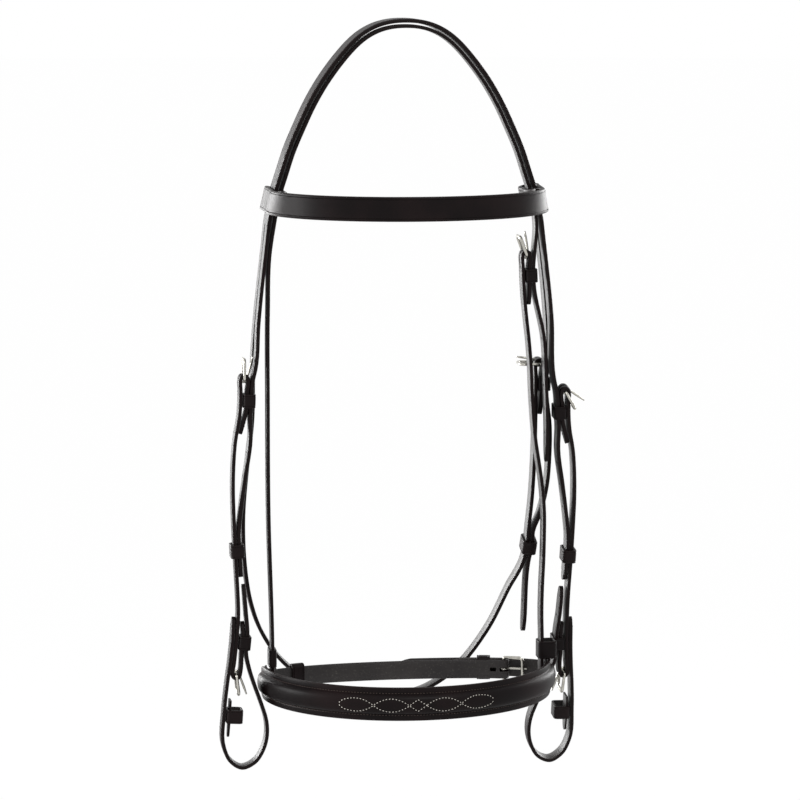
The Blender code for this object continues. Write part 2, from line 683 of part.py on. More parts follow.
def make_crown(leather):
    """Headpiece: one strap over the poll, slit into a cheek billet and a throat billet on each side."""
    arch = [fixed_place(1, *arch_point(1, shares, 0.0), 0.0) for shares in ARCH_SHARES]
    arch = [Vector((-spot.x, spot.y, spot.z)) for spot in reversed(arch[1:])] + arch
    slit_z = CROWN_RISE - SPLIT_DROP
    poll = [spot for spot in smooth_route(arch) if spot.z > slit_z]
    mesh = bmesh.new()
    rings = []
    for k, centre in enumerate(poll):
        side_way, normal = strap_frame(poll, k, ACROSS)
        rings.append(crown_ring(mesh, centre, side_way, normal))
    for ring, next_ring in zip(rings, rings[1:]):
        skin(mesh, ring, next_ring)
    below = [shares for shares in ARCH_SHARES if shares[1] * ARCH_DROP > SPLIT_DROP + SWEEP_STEP / 2]
    for side, ring in ((-1, rings[0]), (1, rings[-1])):
        mesh.faces.new((ring[2], ring[3], ring[8], ring[9]))
        start = poll[0] if side < 0 else poll[-1]
        sides = [fixed_place(side, *arch_point(side, shares, 0.0), 0.0) for shares in below]
        front = [start + ACROSS * FRONT_ROW] + [spot + ACROSS * FRONT_ROW for spot in sides]
        back = [start + ACROSS * BACK_ROW] + [spot + ACROSS * BACK_ROW for spot in sides]
        front_ring = [ring[k] for k in (0, 1, 2, 9, 10, 11)]
        back_ring = [ring[k] for k in (3, 4, 5, 6, 7, 8)]
        grow_split(mesh, front_ring, front + crown_front_points(side), side, False, True)
        if side < 0:
            grow_split(mesh, back_ring, back[:-1] + throat_points(), side, True, True)
        else:
            grow_split(mesh, back_ring, back[:-1] + throat_billet_points(), side, True, True)
    crown = solid("crown", mesh, leather)
    cut_tongue_slot(crown, throat_bar(), ACROSS, UPRIGHT)
    holes = []
    for side in (-1, 1):
        holes += holes_along(crown_front_points(side), ACROSS, CHEEK_HOLES)
    holes += holes_along(throat_billet_points(), ACROSS, THROAT_HOLES)
    cut_holes(crown, holes)


def make_cheek(side, leather, metal):
    """Cheekpiece, folded round a buckle at each end, with its keepers and its bit billet."""
    label = "left" if side < 0 else "right"
    outward = Vector((side, 0, 0))
    inward = -outward
    up, width_way = hang_axes(side)
    top_bar = place(side, cheek_out(CHEEK_BAR_DROP) - FOLD_RADIUS, CHEEK_BAR_DROP, FRONT_ROW)
    bit_bar = place(side, cheek_out(BIT_BAR_DROP) - FOLD_RADIUS, BIT_BAR_DROP, FRONT_ROW)
    inner = lambda drop, plies: place(side, cheek_out(drop) - plies, drop, FRONT_ROW)
    half = KEEPER_HEIGHT / 2
    points = [inner(CHEEK_TAIL_DROP, PLY + GAP), inner(CHEEK_KEEPER_DROP + half + EDGE_BEVEL, KEEPER_PLIES)]
    points.append(inner(CHEEK_KEEPER_DROP - half - EDGE_BEVEL, KEEPER_PLIES))
    points += fold_points(top_bar, inward, up)
    for drop in drops_between(CHEEK_BAR_DROP + SLOT_DEPTH, BIT_BAR_DROP - SLOT_DEPTH):
        points.append(inner(drop, 0.0))
    points += fold_points(bit_bar, outward, -up)
    points.append(inner(BIT_KEEPER_DROP + half + EDGE_BEVEL, KEEPER_PLIES))
    points.append(inner(BIT_KEEPER_DROP - half - EDGE_BEVEL, KEEPER_PLIES))
    points.append(inner(BIT_TAIL_DROP, PLY + 2 * GAP))
    piece = strap("cheekpiece_" + label, points, STRAP_WIDTH, PLY, leather, width_way, True, True)
    cut_tongue_slot(piece, top_bar, width_way, up)
    cut_tongue_slot(piece, bit_bar, width_way, -up)
    buckle("cheek_buckle_" + label, top_bar, width_way, up, inward, STRAP_WIDTH,
           CHEEK_FRAME_DEG[side], CHEEK_TONGUE_DEG[side], metal)
    buckle("bit_buckle_" + label, bit_bar, width_way, -up, inward, STRAP_WIDTH, BIT_FRAME_DEG, BIT_TONGUE_DEG, metal)
    make_bit_billet(side, label, leather)
    make_cheek_keepers(side, label, leather)


def make_bit_billet(side, label, leather):
    """Billet sewn to the outside of the cheekpiece, down round the bit and up to its pointed tip."""
    outer = PLY + GAP
    points = [place(side, cheek_out(drop) + outer, drop, FRONT_ROW)
              for drop in drops_between(BIT_TOP_DROP, LOOP_SHARES[0][0] * LOOP_DROP - SWEEP_STEP)]
    loop = [place(side, out * HEAD_HALF, drop * LOOP_DROP, FRONT_ROW) for drop, out in LOOP_SHARES]
    in_keeper = KEEPER_PLIES + PLY + GAP
    half = KEEPER_HEIGHT / 2
    back = [place(side, cheek_out(drop) - in_keeper, drop, FRONT_ROW)
            for drop in (BIT_KEEPER_DROP + half + GAP, BIT_KEEPER_DROP, BIT_KEEPER_DROP - half - GAP)]
    back += [place(side, cheek_out(drop * LOOP_DROP) - inside * HEAD_HALF, drop * LOOP_DROP, FRONT_ROW)
             for drop, inside in RETURN_SHARES]
    route = points + loop + back
    _, width_way = hang_axes(side)
    billet = strap("bit_billet_" + label, route, STRAP_WIDTH, PLY, leather, width_way, True, True)
    cut_holes(billet, holes_along(route, width_way, BIT_HOLES))


def keeper_on(name, side, drop, near, far, width, leather, room=0.0):
    """A keeper on the cheek bundle, open from one distance inside the cheek line to another."""
    middle = (near + far) / 2
    centre = place(side, cheek_out(drop) - middle, drop, FRONT_ROW)
    above = place(side, cheek_out(drop - KEEPER_HEIGHT / 2) - middle, drop - KEEPER_HEIGHT / 2, FRONT_ROW)
    below = place(side, cheek_out(drop + KEEPER_HEIGHT / 2) - middle, drop + KEEPER_HEIGHT / 2, FRONT_ROW)
    along = (above - below).normalized()
    width_way = (ACROSS - along * ACROSS.dot(along)).normalized()
    inner_width = width + 2 * (KEEPER_SIDE_CLEARANCE + room)
    thick = far - near + 2 * room
    return keeper(name, centre, width_way, along.cross(width_way), inner_width, thick, KEEPER_HEIGHT, leather)


def make_cheek_keepers(side, label, leather):
    """Fixed keepers sewn between plies, the runner that slides, and the open keeper below the bit buckle."""
    base = PLY / 2 + GAP + KEEPER_WALL
    closed = base + GAP + PLY + GAP + CROWN_PLY + GAP
    keeper_on("cheek_keeper_" + label, side, CHEEK_KEEPER_DROP, base, closed, STRAP_WIDTH, leather)
    runner_far = PLY / 2 + GAP + CROWN_PLY
    keeper_on("cheek_runner_" + label, side, RUNNER_DROP, -PLY / 2, runner_far, STRAP_WIDTH, leather, RUNNER_SLACK)
    keeper_on("bit_keeper_" + label, side, BIT_KEEPER_DROP, base, closed - CROWN_PLY + PLY, STRAP_WIDTH, leather)
    tab_inside = -(PLY + GAP) + PLY / 2 + KEEPER_WALL + 2 * GAP + LINING_PLY / 2
    tab = [place(side, cheek_out(drop) - tab_inside, drop, FRONT_ROW)
           for drop in drops_between(TAB_TOP_DROP, TAB_POINT_DROP)]
    strap("bit_tab_" + label, tab, STRAP_WIDTH, LINING_PLY, leather, end_point=True)
    open_near = -(PLY + GAP) + PLY / 2 + GAP + KEEPER_WALL
    open_far = open_near + LINING_PLY + 2 * GAP + EMPTY_KEEPER_ROOM
    keeper_on("lower_keeper_" + label, side, LOWER_KEEPER_DROP, open_near, open_far, STRAP_WIDTH, leather)


def slip_x(drop):
    """The noseband strap on the right: middle of its main ply."""
    return out_at(NOSE_STRAP_SHARES, drop)


def strap_place(drop, plies):
    """A place on the right noseband strap, so many plies outside its main one."""
    return fixed_place(1, slip_x(drop) + plies, drop, SLIP_ROW)


def make_headstrap(leather, metal):
    """Noseband headstrap under the crown, and the strap on the right that it buckles to."""
    inset = CROWN_RISE - SLIP_RISE
    arch = [arch_point(1, shares, inset) for shares in ARCH_SHARES if shares[1] * ARCH_DROP < SLIP_ARCH_END]
    right = [fixed_place(1, out, drop, SLIP_ROW) for out, drop in arch]
    left = [fixed_place(-1, out, drop, SLIP_ROW) for out, drop in reversed(arch[1:])]
    left_end = [fixed_place(-1, out * HEAD_HALF, drop * LOOP_DROP, SLIP_ROW) for drop, out in SLIP_LEFT_SHARES]
    bottom = fixed_place(-1, hanger_out(-1), NOSE_DROP + HANGER_BELOW, SLIP_ROW)
    mid = fixed_place(-1, hanger_out(-1), NOSE_DROP - NOSE_WIDTH, SLIP_ROW)
    in_keeper = KEEPER_PLIES + (PLY + SLIP_PLY) / 2 + GAP
    beside_fold = 2 * FOLD_RADIUS + (PLY + SLIP_PLY) / 2 + 2 * GAP
    keep = [fixed_place(1, slip_x(SLIP_BAR_DROP) + beside_fold, SLIP_BAR_DROP, SLIP_ROW)]
    keep += [fixed_place(1, slip_x(SLIP_KEEPER_DROP + end) + in_keeper, SLIP_KEEPER_DROP + end, SLIP_ROW)
             for end in (-KEEPER_HEIGHT / 2, 0.0, KEEPER_HEIGHT / 2)]
    end = [fixed_place(1, out * HEAD_HALF, drop * LOOP_DROP, SLIP_ROW) for drop, out in SLIP_END_SHARES]
    route = [bottom, mid] + list(reversed(left_end[:-1])) + left + right + keep + end[1:]
    slip = strap("noseband_headstrap", route, SLIP_WIDTH, SLIP_PLY, leather, end_point=True)
    cut_holes(slip, holes_along(route, ACROSS, SLIP_HOLES))
    bar = strap_place(SLIP_BAR_DROP, FOLD_RADIUS)
    half = KEEPER_HEIGHT / 2
    points = [strap_place(SLIP_TAIL_DROP, PLY + 2 * GAP), strap_place(SLIP_KEEPER_DROP + half, KEEPER_PLIES)]
    points.append(strap_place(SLIP_KEEPER_DROP - half, KEEPER_PLIES))
    points += fold_points(bar, Vector((1, 0, 0)), UPRIGHT)
    hang = drops_between(SLIP_BAR_DROP + SLOT_DEPTH, NOSE_DROP - 2 * NOSE_WIDTH)
    points += [strap_place(drop, 0.0) for drop in hang]
    points.append(fixed_place(1, hanger_out(1), NOSE_DROP - NOSE_WIDTH, SLIP_ROW))
    points.append(fixed_place(1, hanger_out(1), NOSE_DROP + HANGER_BELOW, SLIP_ROW))
    piece = strap("noseband_strap", points, SLIP_WIDTH, PLY, leather, start_point=True)
    cut_tongue_slot(piece, bar, ACROSS, UPRIGHT)
    buckle("headstrap_buckle", bar, ACROSS, UPRIGHT, Vector((1, 0, 0)), SLIP_WIDTH,
           SLIP_FRAME_DEG, SLIP_TONGUE_DEG, metal)
    near = PLY / 2 + GAP + KEEPER_WALL
    thick = PLY + SLIP_PLY + 3 * GAP
    above = strap_place(SLIP_KEEPER_DROP - half, 0.0)
    below = strap_place(SLIP_KEEPER_DROP + half, 0.0)
    normal = outward_normal((above - below).normalized())
    centre = strap_place(SLIP_KEEPER_DROP, 0.0) + normal * (near + thick / 2)
    width = SLIP_WIDTH + 2 * KEEPER_SIDE_CLEARANCE
    keeper("headstrap_keeper", centre, ACROSS, normal, width, thick, KEEPER_HEIGHT, leather)


def make_throat_fittings(leather, metal):
    """Buckle, keeper and runner of the throat strap, which is the long left split of the crown."""
    bar = throat_bar()
    outward = Vector((1, 0, 0))
    buckle("throat_buckle", bar, ACROSS, UPRIGHT, outward, STRAP_WIDTH, THROAT_FRAME_DEG, THROAT_TONGUE_DEG, metal)
    near = bar.x - THROAT_FOLD + CROWN_PLY / 2 + GAP + KEEPER_WALL
    thick = 2 * CROWN_PLY + 3 * GAP
    centre = Vector((near + thick / 2, BACK_ROW, CROWN_RISE - THROAT_KEEPER_DROP))
    width = STRAP_WIDTH + 2 * KEEPER_SIDE_CLEARANCE
    keeper("throat_keeper", centre, ACROSS, outward, width, thick, KEEPER_HEIGHT, leather)
    seat, along = throat_runner_seats()[1]
    normal = outward_normal(along)
    side_way = (ACROSS - along * ACROSS.dot(along)).normalized()
    thick = THROAT_APART + CROWN_PLY + 2 * RUNNER_SLACK
    width += 2 * RUNNER_SLACK
    keeper("throat_runner", seat + normal * (THROAT_APART / 2), side_way, normal, width, thick,
           KEEPER_HEIGHT, leather)


def nose_ring(angle, offset, rise=0.0):
    """A place on the noseband's ring, its angle counted from the front towards +X."""
    turn = math.radians(angle)
    depth = NOSE_FRONT if math.cos(turn) > 0 else NOSE_BACK
    spot = Vector((NOSE_HALF * math.sin(turn), -depth * math.cos(turn), 0.0))
    normal = Vector((math.sin(turn) / NOSE_HALF, -math.cos(turn) / depth, 0.0)).normalized()
    return spot + normal * offset + Vector((NOSE_SHIFT, 0.0, CROWN_RISE - NOSE_DROP + rise))


def nose_normal(angle):
    """Outward direction of the noseband's ring."""
    return (nose_ring(angle, 1.0) - nose_ring(angle, 0.0)).normalized()


def angles_between(start, end):
    """Even ring angles, ends included."""
    count = math.ceil(abs(end - start) / NOSE_STEP_DEG)
    return [start + (end - start) * k / count for k in range(count + 1)]


def hanger_out(side):
    """How far out the noseband's straps hang, just inside its lining."""
    spot = nose_ring(side * math.degrees(math.acos(-(SLIP_ROW - SLIP_WIDTH / 2) / NOSE_FRONT)), 0.0)
    return side * spot.x - NOSE_RIM / 2 - 2 * GAP - LINING_PLY - PLY / 2 - HANGER_CLEARANCE


def make_noseband(leather, lining, metal):
    """Raised noseband, its lining, and the chin strap that closes it at the back."""
    mesh = bmesh.new()
    rings = []
    angles = angles_between(NOSE_LEFT_DEG, NOSE_TIP_DEG)
    tip = nose_ring(NOSE_TIP_DEG, 0.0)
    for angle in angles:
        fade = min(max((NOSE_END_DEG - abs(angle)) / NOSE_TAPER_DEG, 0.0), 1.0)
        fade = fade * fade * (3 - 2 * fade)
        width = NOSE_BILLET_WIDTH + (NOSE_WIDTH - NOSE_BILLET_WIDTH) * fade
        if angle > NOSE_END_DEG:
            width *= tip_share((nose_ring(angle, 0.0) - tip).length)
        w = width / 2
        n = NOSE_RIM / 2
        b = EDGE_BEVEL / 2
        section = [(-w, b - n), (b - w, -n), (w - b, -n), (w, b - n), (w, n - b), (w - b, n)]
        swell = [(share * w, n + rise * fade * NOSE_RAISE) for share, rise in NOSE_SWELL_SHARES]
        section += swell + [(-a, o) for a, o in reversed(swell[:-1])] + [(b - w, n), (-w, n - b)]
        rings.append([mesh.verts.new(nose_ring(angle, o, a)) for a, o in section])
    for ring, next_ring in zip(rings, rings[1:]):
        skin(mesh, ring, next_ring)
    mesh.faces.new(rings[0])
    mesh.faces.new(rings[-1])
    bmesh.ops.remove_doubles(mesh, verts=mesh.verts, dist=GAP / 10)
    band = solid("noseband", mesh, leather)
    holes = []
    for k in range(NOSE_HOLES):
        angle = NOSE_TIP_DEG - math.degrees((HOLE_FROM_TIP + k * HOLE_PITCH) / NOSE_HALF)
        holes.append((nose_ring(angle, 0.0), nose_normal(angle)))
    cut_holes(band, holes)
    inside = -(NOSE_RIM / 2 + GAP + LINING_PLY / 2)
    points = [nose_ring(angle, inside) for angle in angles_between(-LINING_END_DEG, LINING_END_DEG)]
    strap("noseband_lining", points, NOSE_WIDTH - 4 * EDGE_BEVEL, LINING_PLY, lining, across=UPRIGHT)
    make_chin_strap(leather, metal)


def chin_frame():
    """Middle of the chin buckle's bar, the way its frame lies, the billet's face and the strap's own level."""
    level = -(NOSE_RIM / 2 + GAP + PLY / 2) - 2 * FOLD_RADIUS
    bar = nose_ring(-CHIN_BAR_DEG, level + FOLD_RADIUS)
    face = nose_normal(-CHIN_BAR_DEG)
    return bar, face.cross(UPRIGHT), face, level


def chin_angle(back):
    """Ring angle of a place the given length behind the chin buckle's bar, along the strap."""
    turn = math.radians(CHIN_BAR_DEG)
    reach = math.hypot(NOSE_HALF * math.cos(turn), NOSE_BACK * math.sin(turn))
    return math.degrees(back / reach) - CHIN_BAR_DEG


def make_chin_strap(leather, metal):
    """Chin strap sewn inside the noseband's left end and folded round its buckle on the right."""
    bar, away, face, level = chin_frame()
    sewn = -(NOSE_RIM / 2 + GAP + LINING_PLY + GAP + PLY / 2) - GAP
    half = KEEPER_HEIGHT / 2
    keep = [chin_angle(CHIN_KEEPER_BACK + half), chin_angle(CHIN_KEEPER_BACK - half)]
    points = []
    for angle in angles_between(CHIN_LEFT_DEG, chin_angle(CHIN_TAIL_BACK)):
        share = (angle - CHIN_LEFT_DEG) / (chin_angle(CHIN_TAIL_BACK) - CHIN_LEFT_DEG)
        points.append(nose_ring(angle, sewn + (level - sewn) * share))
    points += [nose_ring(angle, level) for angle in keep]
    points += fold_points(bar, -face, away)
    points += [nose_ring(angle, level + KEEPER_PLIES) for angle in reversed(keep)]
    points.append(nose_ring(chin_angle(CHIN_TAIL_BACK), level + PLY + 2 * GAP))
    piece = strap("chin_strap", points, NOSE_BILLET_WIDTH, PLY, leather, across=UPRIGHT, end_point=True)
    cut_tongue_slot(piece, bar, UPRIGHT, away)
    buckle("noseband_buckle", bar, UPRIGHT, away, face, NOSE_BILLET_WIDTH, NOSE_FRAME_DEG, NOSE_TONGUE_DEG, metal)
    width = NOSE_BILLET_WIDTH + 2 * KEEPER_SIDE_CLEARANCE
    near = level + PLY / 2 + GAP + KEEPER_WALL
    far = NOSE_RIM / 2 + RUNNER_SLACK
    angle = chin_angle(CHIN_KEEPER_BACK)
    keeper("chin_keeper", nose_ring(angle, (near + far) / 2), UPRIGHT, nose_normal(angle), width, far - near,
           KEEPER_HEIGHT, leather)
    share = (CHIN_RUNNER_DEG - CHIN_LEFT_DEG) / (chin_angle(CHIN_TAIL_BACK) - CHIN_LEFT_DEG)
    seat = nose_ring(CHIN_RUNNER_DEG, sewn + (level - sewn) * share)
    normal = nose_normal(CHIN_RUNNER_DEG)
    keeper("chin_runner", seat, UPRIGHT, normal, width + 2 * RUNNER_SLACK, PLY + 2 * RUNNER_SLACK,
           KEEPER_HEIGHT, leather)


def make_noseband_loops(leather):
    """Leather loops round the two hanging straps, on the noseband's upper edge."""
    drop = NOSE_DROP - NOSE_WIDTH / 2 - GAP - LOOP_HEIGHT / 2
    width = SLIP_WIDTH + 2 * KEEPER_SIDE_CLEARANCE
    for side, label, ply, room in ((-1, "left", SLIP_PLY, 0.0), (1, "right", PLY, LOOP_ROOM)):
        thick = ply + 2 * GAP + room
        centre = fixed_place(side, hanger_out(side) - ply / 2 - GAP + thick / 2, drop, SLIP_ROW)
        keeper("noseband_loop_" + label, centre, ACROSS, Vector((1, 0, 0)), width, thick, LOOP_HEIGHT, leather)


def arch_out(drop):
    """How far out the crown's arch is at a drop below the poll."""
    table = [(down, out) for out, down in ARCH_SHARES]
    return HEAD_HALF * smooth_value(table, drop / ARCH_DROP)


def make_browband(leather):
    """Browband, its two ends turned back round the crown and the headstrap and sewn down inside."""
    slope = (arch_out(BROW_DROP + BROW_WIDTH / 2) - arch_out(BROW_DROP - BROW_WIDTH / 2)) / BROW_WIDTH
    outer = CROWN_PLY / 2 + BROW_ROOM + BROW_PLY / 2
    inner = -(CROWN_PLY / 2 + SLIP_UNDER_CROWN + SLIP_PLY + BROW_ROOM + BROW_PLY / 2)
    reach = CROWN_WIDTH / 2 + BROW_ROOM + BROW_PLY / 2
    corner = BROW_CORNER
    half_turn = corner * (1 - math.sqrt(0.5))
    level = CROWN_RISE - BROW_DROP
    wide = arch_out(BROW_DROP) + outer
    deep = BROW_BOW - reach

    def across(spot):
        share = min(max(1.0 + (spot.y + reach) / (deep / 2), 0.0), 1.0)
        tilt = slope * share * share * (3 - 2 * share)
        return Vector((-tilt if spot.x > 0 else tilt, 0.0, 1.0)).normalized()

    def bow(angle, inset):
        turn = math.radians(angle)
        normal = Vector((math.sin(turn) / wide, -math.cos(turn) / deep, 0.0)).normalized()
        return Vector((wide * math.sin(turn), -reach - deep * math.cos(turn), level)) - normal * inset

    def end_loop(side):
        normal = Vector((side, 0.0, slope)).normalized()
        middle = fixed_place(side, arch_out(BROW_DROP), BROW_DROP, 0.0)
        section = ((outer, -reach / 2), (outer, reach - corner), (outer - half_turn, reach - half_turn),
                   (outer - corner, reach), (inner + corner, reach), (inner + half_turn, reach - half_turn),
                   (inner, reach - corner), (inner, 0.0), (inner, -reach))
        tail_angle = math.degrees(math.acos(BROW_TAIL / deep))
        tail = [bow(side * (tail_angle + (90 - tail_angle) * BROW_TAIL_TURN_SHARE), BROW_PLY + 5 * GAP)]
        tail.append(bow(side * tail_angle, BROW_PLY + 4 * GAP))
        return [middle + normal * out + ACROSS * back for out, back in section] + tail

    front = [bow(BROW_HALF_DEG * (2 * k / BROW_STEPS - 1), 0.0) for k in range(BROW_STEPS + 1)]
    points = list(reversed(end_loop(-1))) + front + end_loop(1)
    strap("browband", points, BROW_WIDTH, BROW_PLY, leather, across=across)


def main():
    """Builds the whole bridle."""
    clear_scene()
    leather = finish_material("bridle_leather", GRAIN, 0.38, 0.0)
    lining = finish_material("lining_leather", FLESH, 0.6, 0.0)
    metal = finish_material("nickel", NICKEL, 0.22, 1.0)
    make_crown(leather)
    make_headstrap(leather, metal)
    for side in (-1, 1):
        make_cheek(side, leather, metal)
    make_throat_fittings(leather, metal)
    make_noseband(leather, lining, metal)
    make_noseband_loops(leather)
    make_browband(leather)


main()
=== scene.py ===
"""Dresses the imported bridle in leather, thread and nickel, with floor, light and camera.

Metres, +Z up. The front of the head faces -Y, and side +1 is the viewer's right."""

import json
import math
from itertools import accumulate

import bmesh
import bpy
from bpy.props import FloatProperty, FloatVectorProperty, PointerProperty
from mathutils import Matrix, Vector


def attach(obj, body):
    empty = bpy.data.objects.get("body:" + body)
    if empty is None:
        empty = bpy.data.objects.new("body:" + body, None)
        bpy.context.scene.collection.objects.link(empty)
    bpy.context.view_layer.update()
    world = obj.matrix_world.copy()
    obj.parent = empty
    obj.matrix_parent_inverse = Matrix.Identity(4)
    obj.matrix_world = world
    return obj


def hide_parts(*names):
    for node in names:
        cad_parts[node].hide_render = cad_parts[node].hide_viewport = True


bl_info = {
    "name": "Bridle looks",
    "version": (1, 0, 0),
    "blender": (4, 5, 0),
    "location": "3D View > Sidebar > Bridle",
    "description": "Builds the leather, metal and stitching of an English bridle on its packed frame",
    "category": "Object",
}

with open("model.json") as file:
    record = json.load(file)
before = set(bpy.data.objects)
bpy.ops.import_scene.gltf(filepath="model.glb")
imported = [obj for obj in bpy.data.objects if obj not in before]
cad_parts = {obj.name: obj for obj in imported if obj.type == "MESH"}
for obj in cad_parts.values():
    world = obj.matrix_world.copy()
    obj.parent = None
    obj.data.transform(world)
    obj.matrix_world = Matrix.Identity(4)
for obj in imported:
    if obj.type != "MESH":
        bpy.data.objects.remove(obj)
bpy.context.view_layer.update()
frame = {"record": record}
NODE_BODY = {node: body for body, nodes in frame["record"]["behaviour"]["bodies"].items() for node in nodes}

ACROSS = Vector((0.0, 1.0, 0.0))
OUTWARD = Vector((1.0, 0.0, 0.0))
UPRIGHT = Vector((0.0, 0.0, 1.0))

# Leather, and the gaps between touching pieces. The slip is the noseband's headstrap, under the crown.
GAP = 0.0003
PLY = 0.0032
CROWN_PLY = 0.0034
LINING_PLY = 0.0018
SLIP_PLY = 0.0030
STRAP_WIDTH = 0.014
SLIP_WIDTH = 0.013
SPLIT_SLIT = 0.004
CROWN_WIDTH = 2 * STRAP_WIDTH + SPLIT_SLIT
EDGE_BEVEL = 0.0007
SLIP_UNDER_CROWN = 0.0010
SLIP_DAYLIGHT = 0.0004
SLIP_RISE = SLIP_PLY / 2
CROWN_RISE = SLIP_PLY + SLIP_UNDER_CROWN + CROWN_PLY / 2

# How finely a route is planned
SWEEP_STEP = 0.030
TURN_STEP = 0.010
TURN_DEG = 9.0
DROP_STEP = 0.022
NOSE_STEP_DEG = 5.9
FOLD_STEPS = 6

# Pointed tips: a straight taper with a small round end, and rings along it as shares of its length
POINT_LENGTH = 0.012
POINT_TIP_SHARE = 0.30
TIP_ROUND = 0.0018
TIP_END_SHARE = 0.35
TIP_RINGS = (0.01, 0.03, 0.06, 0.10, 0.16, 0.25, 0.38, 0.55, 0.78)

# The head that the straps hang round
HEAD_HALF = 0.125
ARCH_DROP = 0.250
HANG_SHIFT = 0.0075
LOOP_SPLAY = 0.010
SWING_SHARES = {-1: -0.04, 1: 0.104}
FRONT_ROW = -0.009
BACK_ROW = 0.009
SLIP_ROW = -0.0085

# Buckles: bar, frame and tongue, and the slot in the leather
BAR_RADIUS = 0.0012
BAR_CORNER = 0.0016
BAR_END_SHARE = 0.25
FRAME_RADIUS = 0.0013
FRAME_SWELL_SHARE = 1.25
FRAME_LENGTH = 0.0165
FRAME_SIDE_CLEARANCE = 0.0006
FRAME_CORNER = 0.0032
FLAT_SHARE = 0.85
TONGUE_RADIUS = 0.0010
TONGUE_OVERHANG = 0.0016
TONGUE_ROOM = 0.0023
TONGUE_WRAP_DEG = 285.0
WRAP_RADIUS = BAR_RADIUS + GAP + TONGUE_RADIUS
SHANK_SHARES = (0.1, 0.3, 0.5, 0.7, 0.8, 0.88, 0.94, 0.98, 1.0)
TAPER_SHARE = 0.7
TONGUE_TIP_SHARE = 0.62
TIP_OUT_SHARE = 0.1
WIRE_CORNERS = 12
WIRE_TURNS = 6
TONGUE_TURNS = 16
SLOT_SIDE_CLEARANCE = 0.0007
SLOT_DEPTH = 0.0095
SLOT_EXTRA = 0.002
SLOT_ROUND_SHARE = 0.25
IN_LINE = 0.9
# Rest angles of each buckle's frame, and of its tongue from there, towards the face that the billet lies on
BUCKLE_DEG = {
    "cheek_buckle_left": (0.0, 14.0),
    "cheek_buckle_right": (-150.0, 24.0),
    "bit_buckle_left": (6.0, 12.0),
    "bit_buckle_right": (6.0, 12.0),
    "headstrap_buckle": (-20.0, 10.0),
    "throat_buckle": (-90.0, 8.0),
    "noseband_buckle": (-7.0, 0.0),
}

# Keepers and runners
KEEPER_WALL = 0.0016
KEEPER_HEIGHT = 0.0115
KEEPER_HALF = KEEPER_HEIGHT / 2
KEEPER_SIDE_CLEARANCE = 0.0006
KEEPER_TURNS = 4
KEEPER_ROUND = 0.00035
KEEPER_CREASE_IN = 0.0016
KEEPER_BEND = 0.0034
RUNNER_SLACK = 0.0008
RUNNER_ZONE = 0.014
EMPTY_KEEPER_ROOM = 0.0085

# How folded and buckled plies lie on each other
FOLD_RADIUS = BAR_RADIUS + GAP + PLY / 2
THROAT_FOLD = BAR_RADIUS + GAP + CROWN_PLY / 2
THROAT_APART = CROWN_PLY + 3 * GAP
KEEPER_PLIES = PLY + KEEPER_WALL + 2 * GAP
BILLET_APART = (PLY + CROWN_PLY) / 2 + GAP

# Levels below the poll before each side's shift, most of them counted from the next fitting
CHEEK_BAR_DROP = 0.304
CHEEK_KEEPER_DROP = CHEEK_BAR_DROP + 0.018
CHEEK_TAIL_DROP = CHEEK_BAR_DROP + 0.046
BIT_BAR_DROP = CHEEK_BAR_DROP + 0.2485
BIT_TOP_DROP = BIT_BAR_DROP - 0.0485
BIT_TAIL_DROP = BIT_BAR_DROP - 0.0445
BIT_KEEPER_DROP = BIT_BAR_DROP - 0.0265
RUNNER_DROP = BIT_BAR_DROP - 0.1045
CROWN_TIP_DROP = RUNNER_DROP + 0.0225
BIT_TIP_DROP = CROWN_TIP_DROP + 0.006
TAB_TOP_DROP = BIT_BAR_DROP + 0.022
LOWER_KEEPER_DROP = BIT_BAR_DROP + 0.0355
TAB_POINT_DROP = BIT_BAR_DROP + 0.0535
LOOP_LENGTH = 0.0795
LOOP_DROP = BIT_BAR_DROP + LOOP_LENGTH
BROW_DROP = 0.148
SPLIT_DROP = 0.190
SLIP_BAR_DROP = BROW_DROP + 0.048
SLIP_KEEPER_DROP = SLIP_BAR_DROP + 0.0175
SLIP_TAIL_DROP = SLIP_BAR_DROP + 0.042
SLIP_ARCH_END = SLIP_BAR_DROP - 0.018
THROAT_BAR_DROP = LOOP_DROP * 0.4589
THROAT_KEEPER_DROP = THROAT_BAR_DROP + 0.0175
THROAT_TAIL_DROP = THROAT_BAR_DROP + 0.044
THROAT_RUNNER_DROP = LOOP_DROP * 0.7073
THROAT_TIP_DROP = THROAT_RUNNER_DROP + 0.077
THROAT_TIP_LEAN_SHARE = 0.45
NOSE_DROP = BIT_BAR_DROP + 0.0035

# Noseband: a ring of two half ellipses, its angles counted from the front towards the viewer's right
NOSE_HALF = HEAD_HALF * 0.9816
NOSE_SHIFT = 0.002
NOSE_FRONT = 0.104
NOSE_BACK = 0.030
NOSE_WIDTH = 0.028
NOSE_RIM = 0.0025
NOSE_RAISE = 0.0046
NOSE_BILLET_WIDTH = 0.016
NOSE_LEFT_DEG = -116.0
NOSE_END_DEG = 100.0
NOSE_TAPER_DEG = 16.0
NOSE_TIP_DEG = 182.0
LINING_END_DEG = 97.0
HANGER_BELOW = 0.010
HANGER_CLEARANCE = 0.0006
LOOP_ROOM = 0.009
LOOP_HEIGHT = 0.015
# Swell of the noseband's front: shares of half its width and of its raise, with the sewn groove beside it
NOSE_RISE_SHARES = (
    (0.74, 0.0), (0.685, 0.0), (0.655, -0.05), (0.625, 0.02), (0.60, 0.16), (0.565, 0.34), (0.52, 0.54),
    (0.45, 0.73), (0.36, 0.86), (0.25, 0.945), (0.12, 0.99),
)

